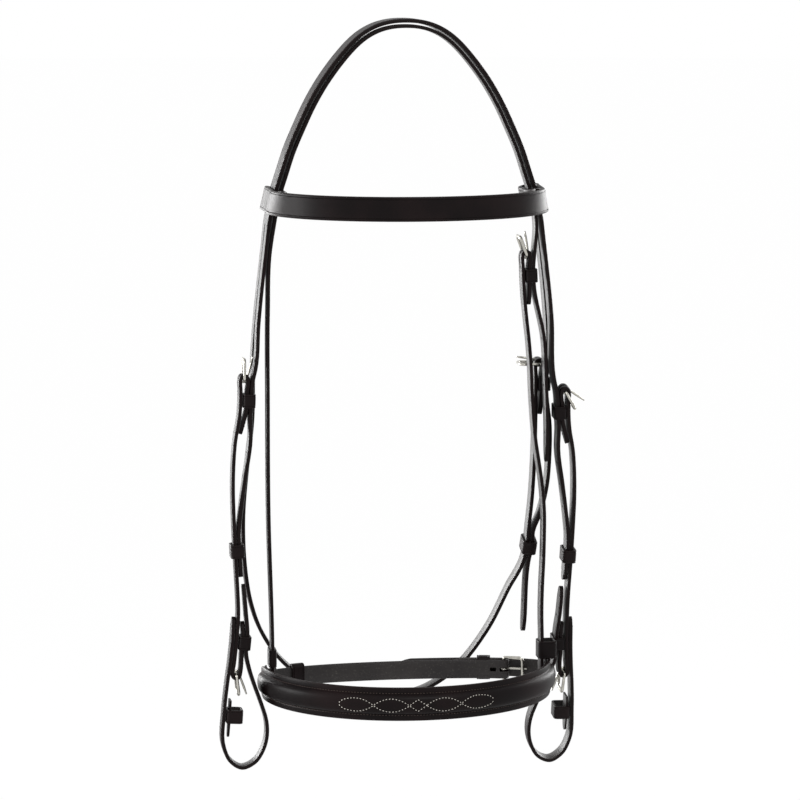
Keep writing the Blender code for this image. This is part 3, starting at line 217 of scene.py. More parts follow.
# Chin strap: its places on the noseband's ring, and lengths behind its bar
CHIN_LEFT_DEG = -94.0
CHIN_BAR_DEG = 226.5
CHIN_RUNNER_DEG = -130.0
CHIN_KEEPER_BACK = 0.0165
CHIN_TAIL_BACK = 0.044

# Browband
BROW_WIDTH = 0.020
BROW_PLY = 0.0034
BROW_BOW = 0.112
BROW_ROOM = 0.0005
BROW_TAIL = 0.024
BROW_CORNER = 0.0036
BROW_HALF_DEG = 80.0
BROW_STEPS = 21
BROW_TAIL_TURN_SHARE = 0.35

# Centre line of the crown: shares of HEAD_HALF and ARCH_DROP
ARCH_SHARES = (
    (0.0, 0.0), (0.096, 0.0034), (0.176, 0.0132), (0.248, 0.0294), (0.312, 0.0508), (0.368, 0.076),
    (0.424, 0.1068), (0.48, 0.1412), (0.56, 0.1972), (0.64, 0.2652), (0.72, 0.3492), (0.788, 0.4292),
    (0.834, 0.499), (0.883, 0.577), (0.92, 0.672), (0.952, 0.78), (0.992, 1.0),
)
# Cheek line on either side: shares of LOOP_DROP and HEAD_HALF
CHEEK_SHARES = (
    (0.470, 1.114), (0.500, 1.114), (0.520, 1.118), (0.566, 1.156), (0.620, 1.172), (0.674, 1.168),
    (0.709, 1.162), (0.759, 1.150), (0.797, 1.146), (0.832, 1.148), (0.873, 1.158), (0.910, 1.170),
    (0.949, 1.168),
)
# Crown billet inside the cheek line: shares of the way from its keeper to its runner and of HEAD_HALF
LENS_SHARES = ((0.253, 0.101), (0.499, 0.083), (0.715, 0.052))
# Bit loop below the bit buckle's bar, down the outside and up the inside: shares of LOOP_LENGTH and HEAD_HALF
LOOP_SHARES = (
    (0.777, 1.183), (0.920, 1.136), (1.000, 1.052), (0.944, 0.968), (0.809, 0.916), (0.658, 0.898),
    (0.507, 0.908), (0.324, 0.950), (0.125, 1.004), (-0.065, 1.050),
)
# End of the bit billet: shares of the way from its keeper to its tip and of HEAD_HALF inside the cheek line
RETURN_SHARES = ((0.47, 0.052), (1.0, 0.044))
# Left side and right end of the slip, and the strap that it buckles to: shares of LOOP_DROP and HEAD_HALF
SLIP_LEFT_SHARES = ((0.300, 0.910), (0.380, 0.926), (0.500, 0.930), (0.640, 0.930))
SLIP_END_SHARES = ((0.425, 0.944), (0.480, 0.958), (0.538, 0.968), (0.589, 0.970))
NOSE_STRAP_SHARES = (
    (0.290, 0.790), (0.338, 0.797), (0.372, 0.808), (0.404, 0.826), (0.440, 0.846), (0.506, 0.864),
    (0.560, 0.888), (0.600, 0.920), (0.641, 0.946), (0.695, 0.950), (0.775, 0.936),
)
# Throat strap from the left billet round to the right buckle: shares of HEAD_HALF out to the viewer's right,
# of LOOP_DROP down and of HEAD_HALF back
THROAT_SHARES = (
    (-1.012, 0.443, 0.072), (-1.024, 0.533, 0.080), (-1.056, 0.587, 0.084), (-1.086, 0.665, 0.100),
    (-1.074, 0.722, 0.135), (-1.030, 0.776, 0.215), (-0.930, 0.830, 0.345), (-0.760, 0.878, 0.460),
    (-0.480, 0.917, 0.530), (-0.140, 0.932, 0.555), (0.200, 0.925, 0.550), (0.440, 0.893, 0.500),
    (0.640, 0.836, 0.400), (0.770, 0.772, 0.270), (0.852, 0.728, 0.150), (0.866, 0.708, 0.115),
    (0.872, 0.686, 0.095), (0.892, 0.641, 0.078), (0.906, 0.587, 0.072), (0.912, 0.530, 0.072),
)
# Right throat billet: shares of HEAD_HALF out and of LOOP_DROP down
THROAT_BILLET_SHARES = ((0.994, 0.425), (1.012, 0.545), (1.010, 0.587), (0.996, 0.622), (0.946, 0.664))

# Punched holes, and how many each billet has
HOLE_RADIUS = 0.0012
HOLE_PITCH = 0.020
HOLE_FROM_TIP = 0.026
HOLE_CORNERS = 16
CHEEK_HOLES = 5
SLIP_HOLES = 5
BIT_HOLES = 4
THROAT_HOLES = 4
NOSE_HOLES = 4

# How finely the leather is drawn, and its worked edges
FINE_STEP = 0.006
FINE_TURN_DEG = 4.0
FINE_TURN_STEP = 0.0012
FINE_NOSE_DEG = 1.5
SMOOTH_DEG = 35.0
EDGE_ROUND = 0.0008
GRAIN_ROUND = 0.0011
FLESH_ROUND_SHARE = 0.25
GRAIN_ROUND_SHARE = 0.33
ROUND_STEPS = 2
SLIT_CORNERS = 2 * ROUND_STEPS + 2
CREASE_HALF = 0.00035

# Finishes of a leather piece, and how far out of its middle a face counts as grain or flesh
LEATHER = ("grain", "flesh", "edge")
GRAIN_SLOT = 0
FLESH_SLOT = 1
EDGE_SLOT = 2
FACE_SHARE = 0.55

# Sewing: insets and lengths, and the rows on the noseband
STITCH_IN = 0.0021
STITCH_RISE_SHARE = 0.75
CHIN_SEWN_LENGTH = 0.030
SEWN_SHARE = 0.655
SEWN_END_DEG = 96.0
# Pattern on the noseband: middle and half length along the band, rise as a share of half the width, and the
# two powers that shape its left and right halves
PATTERN = (
    (-0.0560, 0.0145, 0.39, (2.0, 0.5), (2.0, 1.0)),
    (-0.0273, 0.0145, 0.39, (2.0, 1.0), (2.0, 1.0)),
    (-0.0060, 0.0070, 0.35, (1.0, 1.0), (1.0, 1.0)),
    (0.0153, 0.0145, 0.39, (2.0, 1.0), (2.0, 1.0)),
    (0.0440, 0.0145, 0.39, (2.0, 1.0), (2.0, 0.5)),
)
PATTERN_SAMPLES = 60

# Noises of the finishes: features to the metre, detail and roughness
PATCHES = (22.0, 3.0, 0.5)
EDGE_PATCHES = (44.0, 2.0, 0.5)
WRINKLES = (300.0, 4.0, 0.6)
FIBRES = (1600.0, 6.0, 0.7)
LAYERS = (1600.0, 4.0, 0.6)
SPECKS = (620.0, 3.0, 0.6)
HAZE = (130.0, 4.0, 0.6)
MARKS = (900.0, 2.0, 0.5)
TWIST = (1300.0, 2.0, 0.5)
PORE_SCALE = 1500.0
# Where marks begin and where they are full, in what their noise gives
PATCH_SPAN = (0.35, 0.70)
NAP_SPAN = (0.30, 0.70)
WORN_SPAN = (0.90, 1.0)
SPECK_SPAN = (0.55, 0.78)
LAYER_SPAN = (0.40, 0.80)
HAZE_SPAN = (0.45, 0.75)
TWIST_SHADE_SPAN = (0.35, 0.65)
# How strongly marks colour, the light that hazed plate keeps, and the light that thread keeps under the
# painted shade in the sunk grooves of its twist
WORN_SHARE = 0.35
SPECK_SHARE = 0.45
HAZE_SHADE = 0.7
TWIST_PAINTED_SHADE = 0.6
# Roughness and coat: least, and what the noise adds
GRAIN_ROUGH = (0.36, 0.14)
FLESH_ROUGH = (0.40, 0.20)
LINING_ROUGH = (0.52, 0.15)
EDGE_ROUGH = (0.36, 0.20)
NICKEL_ROUGH = (0.14, 0.16)
THREAD_ROUGH = (0.55, 0.20)
GRAIN_COAT = (0.02, 0.05)
WRINKLE_ROUGH = 0.06
WORN_GLOSS = 0.05
COAT_ROUGH = 0.3
SHEEN_ROUGH = 0.35
FLESH_SHEEN = 0.22
GRAIN_SPECULAR = 0.09
FLESH_SPECULAR = 0.32
# Reliefs: depth in metres and strength, and the parts that make them up
GRAIN_RELIEF = (0.00004, 0.35)
FLESH_RELIEF = (0.00007, 0.35)
LINING_RELIEF = (0.00004, 0.6)
EDGE_RELIEF = (0.00004, 0.12)
NICKEL_RELIEF = (0.00003, 0.35)
THREAD_RELIEF = (0.00004, 0.6)
PORE_PART = 0.6
WRINKLE_PART = 0.9
SPECK_PART = 0.5

# Floor, light and camera. A lamp is its name, place, size and watts.
WHITE = (1.0, 1.0, 1.0, 1.0)
FLOOR_COLOUR = (0.9, 0.9, 0.9, 1.0)
FLOOR_LEVEL = -1.1
FLOOR_RADIUS = 30.0
FLOOR_CORNERS = 64
FLOOR_ROUGH = 0.9
FLOOR_WHITE = 0.99
WORLD_LIGHT = 0.5
CAMERA_TARGET = Vector((-0.003, 0.0, -0.3125))
CAMERA_PLACE = Vector((-0.40, -2.67, 0.072))
CAMERA_LENS = 145.5
SENSOR_WIDTH = 36.0
LAMPS = (
    ("front_soft", (0.5, -2.5, 1.8), 1.0, 26.0),
    ("left_side", (-2.4, 0.2, 0.0), 0.9, 36.0),
    ("left_back", (-1.5, 2.1, -0.3), 1.0, 55.0),
    ("right_back", (1.8, 1.9, 0.1), 1.2, 42.0),
)


def blended_slopes(values, steps):
    """Slope at each of a row of values that stand at unequal steps."""
    slopes = [(b - a) / step for a, b, step in zip(values, values[1:], steps)]
    blended = [(before * right + after * left) / (left + right)
               for before, after, left, right in zip(slopes, slopes[1:], steps, steps[1:])]
    return slopes[:1] + blended + slopes[-1:]


def between(values, slopes, k, u, step):
    """The smooth curve through the values, at a share u of the way from number k to the next."""
    near = values[k] * (2 * u**3 - 3 * u**2 + 1) + slopes[k] * (step * (u**3 - 2 * u**2 + u))
    return near + (values[k + 1] * (3 * u**2 - 2 * u**3) + slopes[k + 1] * (step * (u**3 - u**2)))


def smooth_value(table, at):
    """Reads a smooth curve through a table of (place, value)."""
    places, values = zip(*table)
    steps = [b - a for a, b in zip(places, places[1:])]
    k = 0
    while k < len(steps) - 1 and at > places[k + 1]:
        k += 1
    u = min(max((at - places[k]) / steps[k], 0.0), 1.0)
    return between(values, blended_slopes(values, steps), k, u, steps[k])


def smooth_route(points, step=SWEEP_STEP, turn_deg=TURN_DEG, turn_step=TURN_STEP):
    """A smooth line through the points, sampled no wider than the step and closer where it turns."""
    chords = [(b - a).length for a, b in zip(points, points[1:])]
    slopes = blended_slopes(points, chords)
    route = [points[0].copy()]
    for k, chord in enumerate(chords):
        turn = math.degrees(slopes[k].angle(slopes[k + 1]))
        count = max(math.ceil(chord / step), min(math.ceil(turn / turn_deg), math.ceil(chord / turn_step)))
        route += [between(points, slopes, k, n / count, chord) for n in range(1, count + 1)]
    return route


def lengths_along(route):
    """Length of the way from a route's start to each of its points."""
    return list(accumulate([(b - a).length for a, b in zip(route, route[1:])], initial=0.0))


def square_to(way, along):
    """A direction with what lies along another one taken out."""
    return (way - along * way.dot(along)).normalized()


def tangent_at(route, k):
    """Direction of the route at one of its points."""
    return (route[min(k + 1, len(route) - 1)] - route[max(k - 1, 0)]).normalized()


def tip_share(distance):
    """Width of a billet near its pointed tip, as a share of its full width."""
    reach = math.sqrt(min(distance / POINT_LENGTH, 1.0))
    rounded = math.sqrt(min(distance / TIP_ROUND, 1.0))
    return (POINT_TIP_SHARE + (1 - POINT_TIP_SHARE) * reach) * (TIP_END_SHARE + (1 - TIP_END_SHARE) * rounded)


def with_tip_points(points, start_point, end_point):
    """Adds the points that a tapered tip needs near the ends of a route."""
    points = list(points)
    for wanted, index, inner in ((start_point, 0, 1), (end_point, -1, -2)):
        if not wanted:
            continue
        tip = points[index]
        way = (points[inner] - tip).normalized()
        extra = [tip + way * (POINT_LENGTH * share) for share in TIP_RINGS]
        if index == 0:
            points[1:1] = extra
        else:
            points[-1:-1] = reversed(extra)
    return points


def strap_frame(route, k, across):
    """The strap's width direction and its face direction at a point of its route."""
    tangent = tangent_at(route, k)
    side_way = square_to(across, tangent)
    return side_way, tangent.cross(side_way)


def fold_points(centre, first, away, radius=FOLD_RADIUS):
    """Half a turn of a strap round a buckle's bar."""
    turns = [math.pi * k / FOLD_STEPS for k in range(FOLD_STEPS + 1)]
    return [centre + (first * math.cos(turn) + away * math.sin(turn)) * radius for turn in turns]


def holes_along(points, across, count):
    """Places of a row of holes, counted back from the last point of a billet's route."""
    route = smooth_route(points, EDGE_BEVEL)
    places = []
    wanted = HOLE_FROM_TIP
    length = 0.0
    for k in range(len(route) - 1, 0, -1):
        length += (route[k] - route[k - 1]).length
        if length >= wanted and len(places) < count:
            places.append((route[k], strap_frame(route, k, across)[1]))
            wanted += HOLE_PITCH
    return places


def place(side, out, drop, back):
    """A place on one side's hanging straps, with that side's shift and the left loop's splay."""
    splay = 0.0
    if side < 0:
        splay = LOOP_SPLAY * max(0.0, (drop - BIT_TOP_DROP) / (LOOP_DROP - BIT_TOP_DROP))
    swing = SWING_SHARES[side] * max(0.0, drop - CHEEK_BAR_DROP)
    return Vector((side * (out + splay), back + swing, CROWN_RISE - drop - side * HANG_SHIFT))


def hang_axes(side):
    """Upward direction of one side's hanging straps and the direction of their width."""
    swing = SWING_SHARES[side]
    return Vector((0.0, -swing, 1.0)).normalized(), Vector((0.0, 1.0, swing)).normalized()


def fixed_place(side, out, drop, back):
    """A place on the straps over the poll, which both sides share."""
    return Vector((side * out, back, CROWN_RISE - drop))


def throat_place(out, drop):
    """A place on the right in the row of the throat strap."""
    return fixed_place(1, out, drop, BACK_ROW)


def slip_place(side, out, drop):
    """A place in the row of the noseband headstrap."""
    return fixed_place(side, out, drop, SLIP_ROW)


def spread(start, end, step):
    """Even values from one to another, ends included, no further apart than the step."""
    count = math.ceil(abs(end - start) / step)
    return [start + (end - start) * k / count for k in range(count + 1)]


def out_at(shares, drop):
    """Distance out from the middle of a line given in shares, at a drop below the poll."""
    return HEAD_HALF * smooth_value(shares, drop / LOOP_DROP)


def cheek_line(side, drop, inside):
    """A place so far inside the middle of one cheekpiece's main ply."""
    return place(side, out_at(CHEEK_SHARES, drop) - inside, drop, FRONT_ROW)


def arch_point(side, shares, inset):
    """A point of the crown's arch, moved in from it by an inset along its normal."""
    out_share, drop_share = shares
    k = ARCH_SHARES.index(shares)
    before = ARCH_SHARES[max(k - 1, 0)]
    after = ARCH_SHARES[min(k + 1, len(ARCH_SHARES) - 1)]
    run = Vector(((after[0] - before[0]) * HEAD_HALF, (after[1] - before[1]) * ARCH_DROP)).normalized()
    if k == 0:
        run = Vector((1.0, 0.0))
    return out_share * HEAD_HALF - run.y * inset, drop_share * ARCH_DROP + run.x * inset


def crown_front_points(side):
    """Cheek billet of the crown below the slit, down one side to its tip."""
    beside_fold = 2 * FOLD_RADIUS + BILLET_APART + GAP
    in_keeper = KEEPER_PLIES + BILLET_APART
    reach = RUNNER_DROP - CHEEK_KEEPER_DROP
    line = [(CHEEK_BAR_DROP - FRAME_LENGTH / 2, beside_fold + TONGUE_ROOM),
            (CHEEK_BAR_DROP, beside_fold + GAP),
            (CHEEK_KEEPER_DROP - KEEPER_HALF - EDGE_BEVEL, in_keeper + GAP / 2)]
    line += [(CHEEK_KEEPER_DROP + end, in_keeper) for end in (-KEEPER_HALF / 2, KEEPER_HALF, KEEPER_HEIGHT)]
    line += [(CHEEK_KEEPER_DROP + way * reach, inside * HEAD_HALF) for way, inside in LENS_SHARES]
    line += [(RUNNER_DROP + end, BILLET_APART) for end in (-RUNNER_ZONE, 0.0, RUNNER_ZONE)]
    line.append((CROWN_TIP_DROP, BILLET_APART + GAP))
    return [cheek_line(side, drop, inside) for drop, inside in line]


def throat_points():
    """Left throat billet of the crown, round under the throat to its buckle on the right."""
    points = [fixed_place(1, out * HEAD_HALF, drop * LOOP_DROP, back * HEAD_HALF)
              for out, drop, back in THROAT_SHARES]
    bar = throat_bar()
    inner = bar.x - THROAT_FOLD
    over_base = inner + CROWN_PLY + KEEPER_WALL + 2 * GAP
    points += [throat_place(inner, drop) for drop in (THROAT_KEEPER_DROP, THROAT_BAR_DROP + SLOT_DEPTH)]
    points += fold_points(bar, -OUTWARD, UPRIGHT, THROAT_FOLD)
    points += [throat_place(over_base, THROAT_KEEPER_DROP + end) for end in (-KEEPER_HALF, KEEPER_HALF)]
    return points + [throat_place(inner + THROAT_APART, THROAT_TAIL_DROP)]


def throat_bar():
    """Middle of the throat buckle's bar."""
    return throat_place(THROAT_SHARES[-1][0] * HEAD_HALF + THROAT_FOLD, THROAT_BAR_DROP)


def throat_billet_points():
    """Right throat billet of the crown, beside the fold and through the throat's keepers to its tip."""
    bar = throat_bar()
    beside_fold = bar.x + THROAT_FOLD + CROWN_PLY + 2 * GAP
    in_keeper = bar.x - THROAT_FOLD + 2 * CROWN_PLY + KEEPER_WALL + 3 * GAP
    line = [(out * HEAD_HALF, drop * LOOP_DROP) for out, drop in THROAT_BILLET_SHARES]
    line[1:1] = [(beside_fold, THROAT_BAR_DROP - THROAT_FOLD - CROWN_PLY / 2), (beside_fold, THROAT_BAR_DROP),
                 (in_keeper, THROAT_KEEPER_DROP - KEEPER_HALF), (in_keeper, THROAT_KEEPER_DROP + KEEPER_HALF)]
    points = [throat_place(out, drop) for out, drop in line]
    points += [spot + outward_normal(along) * THROAT_APART for spot, along in throat_runner_seats()]
    last = points[-1]
    way = last - points[-2]
    drop = last.z - (CROWN_RISE - THROAT_TIP_DROP)
    lean = way.x / abs(way.z) * THROAT_TIP_LEAN_SHARE
    return points + [last + Vector((lean * drop, 0.0, -drop))]


def outward_normal(along):
    """Face direction of a right strap, away from the head."""
    normal = square_to(ACROSS, along).cross(along)
    return normal if normal.x > 0 else -normal


def throat_runner_seats():
    """Places and upward directions of the throat strap above, at and below its runner."""
    route = smooth_route(throat_points())
    level = CROWN_RISE - THROAT_RUNNER_DROP
    right = [k for k, spot in enumerate(route) if spot.x > HEAD_HALF / 2]
    near = min(right, key=lambda k: abs(route[k].z - level))
    return [(route[k], tangent_at(route, k)) for k in (near + 1, near, near - 1)]


def strap_place(drop, outside):
    """A place so far outside the middle of the right noseband strap's main ply."""
    return slip_place(1, out_at(NOSE_STRAP_SHARES, drop) + outside, drop)


def nose_ring(angle, offset, rise=0.0):
    """A place on the noseband's ring, its angle counted from the front towards +X."""
    turn = math.radians(angle)
    depth = NOSE_FRONT if math.cos(turn) > 0 else NOSE_BACK
    spot = Vector((NOSE_HALF * math.sin(turn), -depth * math.cos(turn), 0.0))
    normal = Vector((math.sin(turn) / NOSE_HALF, -math.cos(turn) / depth, 0.0)).normalized()
    return spot + normal * offset + Vector((NOSE_SHIFT, 0.0, CROWN_RISE - NOSE_DROP + rise))


def nose_normal(angle):
    """Outward direction of the noseband's ring."""
    return (nose_ring(angle, 1.0) - nose_ring(angle, 0.0)).normalized()


def hanger_out(side):
    """How far out the noseband's straps hang, just inside its lining."""
    turn = math.degrees(math.acos(-(SLIP_ROW - SLIP_WIDTH / 2) / NOSE_FRONT))
    inside = NOSE_RIM / 2 + 2 * GAP + LINING_PLY + PLY / 2 + HANGER_CLEARANCE
    return side * nose_ring(side * turn, 0.0).x - inside


def chin_frame():
    """Middle of the chin buckle's bar, how its frame lies, the billet's face and the strap's own level."""
    level = -(NOSE_RIM / 2 + GAP + PLY / 2) - 2 * FOLD_RADIUS
    bar = nose_ring(-CHIN_BAR_DEG, level + FOLD_RADIUS)
    face = nose_normal(-CHIN_BAR_DEG)
    return bar, face.cross(UPRIGHT), face, level


def chin_angle(back):
    """Ring angle of a place the given length behind the chin buckle's bar, along the strap."""
    turn = math.radians(CHIN_BAR_DEG)
    reach = math.hypot(NOSE_HALF * math.cos(turn), NOSE_BACK * math.sin(turn))
    return math.degrees(back / reach) - CHIN_BAR_DEG


def arch_out(drop):
    """How far out the crown's arch is at a drop below the poll."""
    table = [(down, out) for out, down in ARCH_SHARES]
    return HEAD_HALF * smooth_value(table, drop / ARCH_DROP)


class Strap:
    """A strap's smooth middle line, with its width and face directions at every station."""

    def __init__(self, points, width, ply, across=ACROSS, start_point=False, end_point=False, grain=1):
        points = with_tip_points(points, start_point, end_point)
        self.route = smooth_route(points, FINE_STEP, FINE_TURN_DEG, FINE_TURN_STEP)
        self.width = width
        self.ply = ply
        self.grain = grain
        ways = [across(spot) if callable(across) else across for spot in self.route]
        self.frames = [strap_frame(self.route, k, way) for k, way in enumerate(ways)]
        self.runs = lengths_along(self.route)
        near_start = [tip_share(run) if start_point else 1.0 for run in self.runs]
        near_end = [tip_share(self.runs[-1] - run) if end_point else 1.0 for run in self.runs]
        self.shares = [min(pair) for pair in zip(near_start, near_end)]

    def station(self, k, corners):
        """World places of the section's corners at a station."""
        side_way, normal = self.frames[k]
        share = self.shares[k]
        return [self.route[k] + side_way * (a * share) + normal * (o * self.grain) for a, o in corners]

    def run_near(self, spot):
        """Length along the strap at which it passes closest to a place."""
        found = []
        for a, b, run in zip(self.route, self.route[1:], self.runs):
            step = b - a
            u = min(max((spot - a).dot(step) / step.length_squared, 0.0), 1.0)
            found.append(((a + step * u - spot).length, run + step.length * u))
        return min(found)[1]

    def spot(self, run, across, out):
        """Place, direction along and grain-side direction at a length along the strap."""
        k = 1
        while k < len(self.runs) - 1 and self.runs[k] < run:
            k += 1
        u = (run - self.runs[k - 1]) / (self.runs[k] - self.runs[k - 1])
        side_way = self.frames[k - 1][0].lerp(self.frames[k][0], u).normalized()
        normal = self.frames[k - 1][1].lerp(self.frames[k][1], u).normalized() * self.grain
        centre = self.route[k - 1].lerp(self.route[k], u)
        along = (self.route[k] - self.route[k - 1]).normalized()
        return centre + side_way * across + normal * out, along, normal


def rounded_edge(w, n, under, over):
    """Corners of one rounded edge of a section, from its lower face up to its upper one."""
    turns = [math.radians(90.0 * k / ROUND_STEPS) for k in range(ROUND_STEPS + 1)]
    low = [(w - under * (1 - math.sin(t)), under * (1 - math.cos(t)) - n) for t in turns]
    return low + [(w - over * (1 - math.cos(t)), n - over * (1 - math.sin(t))) for t in turns]


def pressed_line(at, n):
    """Corners of a line pressed into a section's upper face."""
    return [(at + CREASE_HALF, n), (at, n - sizes().crease_depth), (at - CREASE_HALF, n)]


def mirrored(side):
    """The other half of a section."""
    return [(-a, o) for a, o in reversed(side)]


def strap_section(width, ply):
    """Corners (across, out) of a creased strap's section, from the middle of its flesh side round."""
    n = ply / 2
    under = min(EDGE_ROUND, ply * FLESH_ROUND_SHARE)
    over = min(GRAIN_ROUND, ply * GRAIN_ROUND_SHARE)
    side = rounded_edge(width / 2, n, under, over) + pressed_line(width / 2 - sizes().crease_in, n)
    return [(0.0, -n)] + side + [(0.0, n)] + mirrored(side)


def new_sweep(corners, ply, spots):
    """Starts a sweep from one section: its corners are numbered, and keep their shares across and out."""
    mesh = bmesh.new()
    mesh.verts.layers.int.new("corner")
    for name in ("run", "across", "out"):
        mesh.verts.layers.float.new(name)
    number = mesh.verts.layers.int["corner"]
    across = mesh.verts.layers.float["across"]
    out = mesh.verts.layers.float["out"]
    half = max(a for a, _ in corners)
    made = []
    for k, ((a, o), spot) in enumerate(zip(corners, spots)):
        vert = mesh.verts.new(spot)
        vert[number] = k
        vert[across] = a / half
        vert[out] = o / (ply / 2)
        made.append(vert)
    return mesh, made


def grow(mesh, faces, run, spots):
    """Extrudes the end faces by one station and puts each new corner at its own place."""
    edges = list(dict.fromkeys(edge for face in faces for edge in face.edges))
    made = bmesh.ops.extrude_face_region(mesh, geom=list(faces) + edges)["geom"]
    number = mesh.verts.layers.int["corner"]
    length = mesh.verts.layers.float["run"]
    for piece in made:
        if isinstance(piece, bmesh.types.BMVert):
            piece.co = spots[piece[number]]
            piece[length] = run
    return [piece for piece in made if isinstance(piece, bmesh.types.BMFace)]


def grow_along(corners, ply, rings, runs, closed=False):
    """A whole sweep through rings of like corners, its ends capped or joined."""
    mesh, verts = new_sweep(corners, ply, rings[0])
    first = mesh.faces.new(verts)
    faces = [first]
    for ring, run in zip(rings[1:], runs[1:]):
        faces = grow(mesh, faces, run, ring)
    sort_sides(mesh)
    if closed:
        bmesh.ops.delete(mesh, geom=[first] + faces, context="FACES_ONLY")
        bmesh.ops.remove_doubles(mesh, verts=mesh.verts, dist=GAP / 10)
    return mesh


def sort_sides(mesh):
    """Gives the grain, flesh and edge faces their materials, and the whole sweep its map."""
    out = mesh.verts.layers.float["out"]
    across = mesh.verts.layers.float["across"]
    length = mesh.verts.layers.float["run"]
    lay = mesh.loops.layers.uv.new("StrapMap")
    for face in mesh.faces:
        levels = [vert[out] for vert in face.verts]
        face.material_index = EDGE_SLOT
        if min(levels) > FACE_SHARE:
            face.material_index = GRAIN_SLOT
        if max(levels) < -FACE_SHARE:
            face.material_index = FLESH_SLOT
        for loop in face.loops:
            loop[lay].uv = (loop.vert[length], loop.vert[across])


def new_object(name, mesh, finishes):
    """Turns a bmesh into an object with its finishes."""
    data = bpy.data.meshes.new(name)
    mesh.to_mesh(data)
    mesh.free()
    for finish in finishes:
        data.materials.append(bpy.data.materials[finish])
    thing = bpy.data.objects.new(name, data)
    bpy.context.scene.collection.objects.link(thing)
    return thing


def shade(data):
    """Smooth shading with sharp edges where faces meet steeply."""
    data.shade_smooth()
    data.set_sharp_from_angle(angle=math.radians(SMOOTH_DEG))


def add_piece(name, mesh, finishes, node=None):
    """Puts a finished mesh in the scene, on its CAD body and in place of its CAD node."""
    bmesh.ops.recalc_face_normals(mesh, faces=mesh.faces)
    piece = new_object(name, mesh, finishes)
    shade(piece.data)
    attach(piece, NODE_BODY[node] if node else "headstall")
    if node:
        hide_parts(node)
    return piece


def sweep_strap(node, strap, slots=(), holes=(), finishes=LEATHER):
    """A whole leather strap in place of its CAD node, with its tongue slots and punched holes."""
    corners = strap_section(strap.width, strap.ply)
    rings = [strap.station(k, corners) for k in range(len(strap.route))]
    mesh = grow_along(corners, strap.ply, rings, strap.runs)
    cut_away(add_piece(node + "_leather", mesh, finishes, node), slots, holes)


def add_slot_cutter(mesh, bar, across, away):
    """The oblong slot for a tongue, through the fold of leather round its bar."""
    face = across.cross(away)
    over = FOLD_RADIUS + PLY
    long = SLOT_DEPTH + SLOT_EXTRA + over
    wide = 2 * (TONGUE_RADIUS + SLOT_SIDE_CLEARANCE)
    deep = 2 * (THROAT_FOLD + CROWN_PLY / 2 + GAP / 2)
    made = bmesh.ops.create_cube(mesh, size=1.0)["verts"]
    turn = Matrix((across * wide, away * long, face * deep)).transposed().to_4x4()
    bmesh.ops.transform(mesh, matrix=Matrix.Translation(bar + away * (over - long / 2)) @ turn, verts=made)
    ends = []
    for edge in dict.fromkeys(edge for vert in made for edge in vert.link_edges):
        if abs((edge.verts[0].co - edge.verts[1].co).normalized().dot(face)) > IN_LINE:
            ends.append(edge)
    bmesh.ops.bevel(mesh, geom=ends, offset=wide * SLOT_ROUND_SHARE, affect="EDGES", segments=2 * ROUND_STEPS,
                    profile=0.5, material=-1)


def cut_away(piece, slots, holes):
    """Cuts the tongue slots and punched holes out of a leather piece."""
    if not slots and not holes:
        return
    mesh = bmesh.new()
    for bar, across, away in slots:
        add_slot_cutter(mesh, bar, across, away)
    for spot, through in holes:
        turn = through.to_track_quat("Z", "Y").to_matrix().to_4x4()
        bmesh.ops.create_cone(mesh, cap_ends=True, segments=HOLE_CORNERS, radius1=HOLE_RADIUS,
                              radius2=HOLE_RADIUS, depth=CROWN_PLY + GAP,
                              matrix=Matrix.Translation(spot) @ turn)
    for face in mesh.faces:
        face.material_index = EDGE_SLOT
    bmesh.ops.recalc_face_normals(mesh, faces=mesh.faces)
    tool = new_object("cut", mesh, LEATHER)
    change = piece.modifiers.new("cut", "BOOLEAN")
    change.operation = "DIFFERENCE"
    change.solver = "EXACT"
    change.object = tool
    bpy.context.view_layer.update()
    graph = bpy.context.evaluated_depsgraph_get()
    shaped = bpy.data.meshes.new_from_object(piece.evaluated_get(graph), preserve_all_data_layers=True,
                                             depsgraph=graph)
    piece.modifiers.clear()
    spent = [piece.data, tool.data]
    piece.data = shaped
    bpy.data.objects.remove(tool)
    for data in spent:
        bpy.data.meshes.remove(data)
    shade(shaped)


def add_stitch(mesh, spot, along, out, length):
    """One stitch: a short round back of thread, lying along the row and half sunk in the leather."""
    side = out.cross(along).normalized()
    wide = sizes().thread_width / 2
    turn = Matrix((along * (length / 2), side * wide, out * (wide * STITCH_RISE_SHARE))).transposed().to_4x4()
    bmesh.ops.create_icosphere(mesh, subdivisions=1, radius=1.0, matrix=Matrix.Translation(spot) @ turn)


def stitch_both(mesh, strap, start, end, face=1):
    """A row of stitches just inside each edge of a strap, on its grain side (1) or its flesh side (-1)."""
    low, high = sorted((start, end))
    count = max(1, int((high - low) / sizes().stitch_pitch))
    for side in (-1, 1):
        for k in range(count):
            run = low + (high - low) * (k + 0.5) / count
            spot, along, out = strap.spot(run, side * (strap.width / 2 - STITCH_IN), face * strap.ply / 2)
            add_stitch(mesh, spot, along, out * face, sizes().stitch_length)


def fold_rows(strap, low, high, face, at_end):
    """Stitch rows where a tail is sewn down behind its fold: on the strap's main ply and on the tail."""
    reach = abs(high - low)
    last = strap.runs[-1]
    tail = (last - reach, last - POINT_LENGTH / 2) if at_end else (POINT_LENGTH / 2, reach)
    return [(strap, low, high, face), (strap, *tail, face)]


def sew(name, rows):
    """The dark sewing of a strap: rows of (strap, start, end, face)."""
    mesh = bmesh.new()
    for row in rows:
        stitch_both(mesh, *row)
    add_piece(name + "_stitching", mesh, ["dark_thread"])


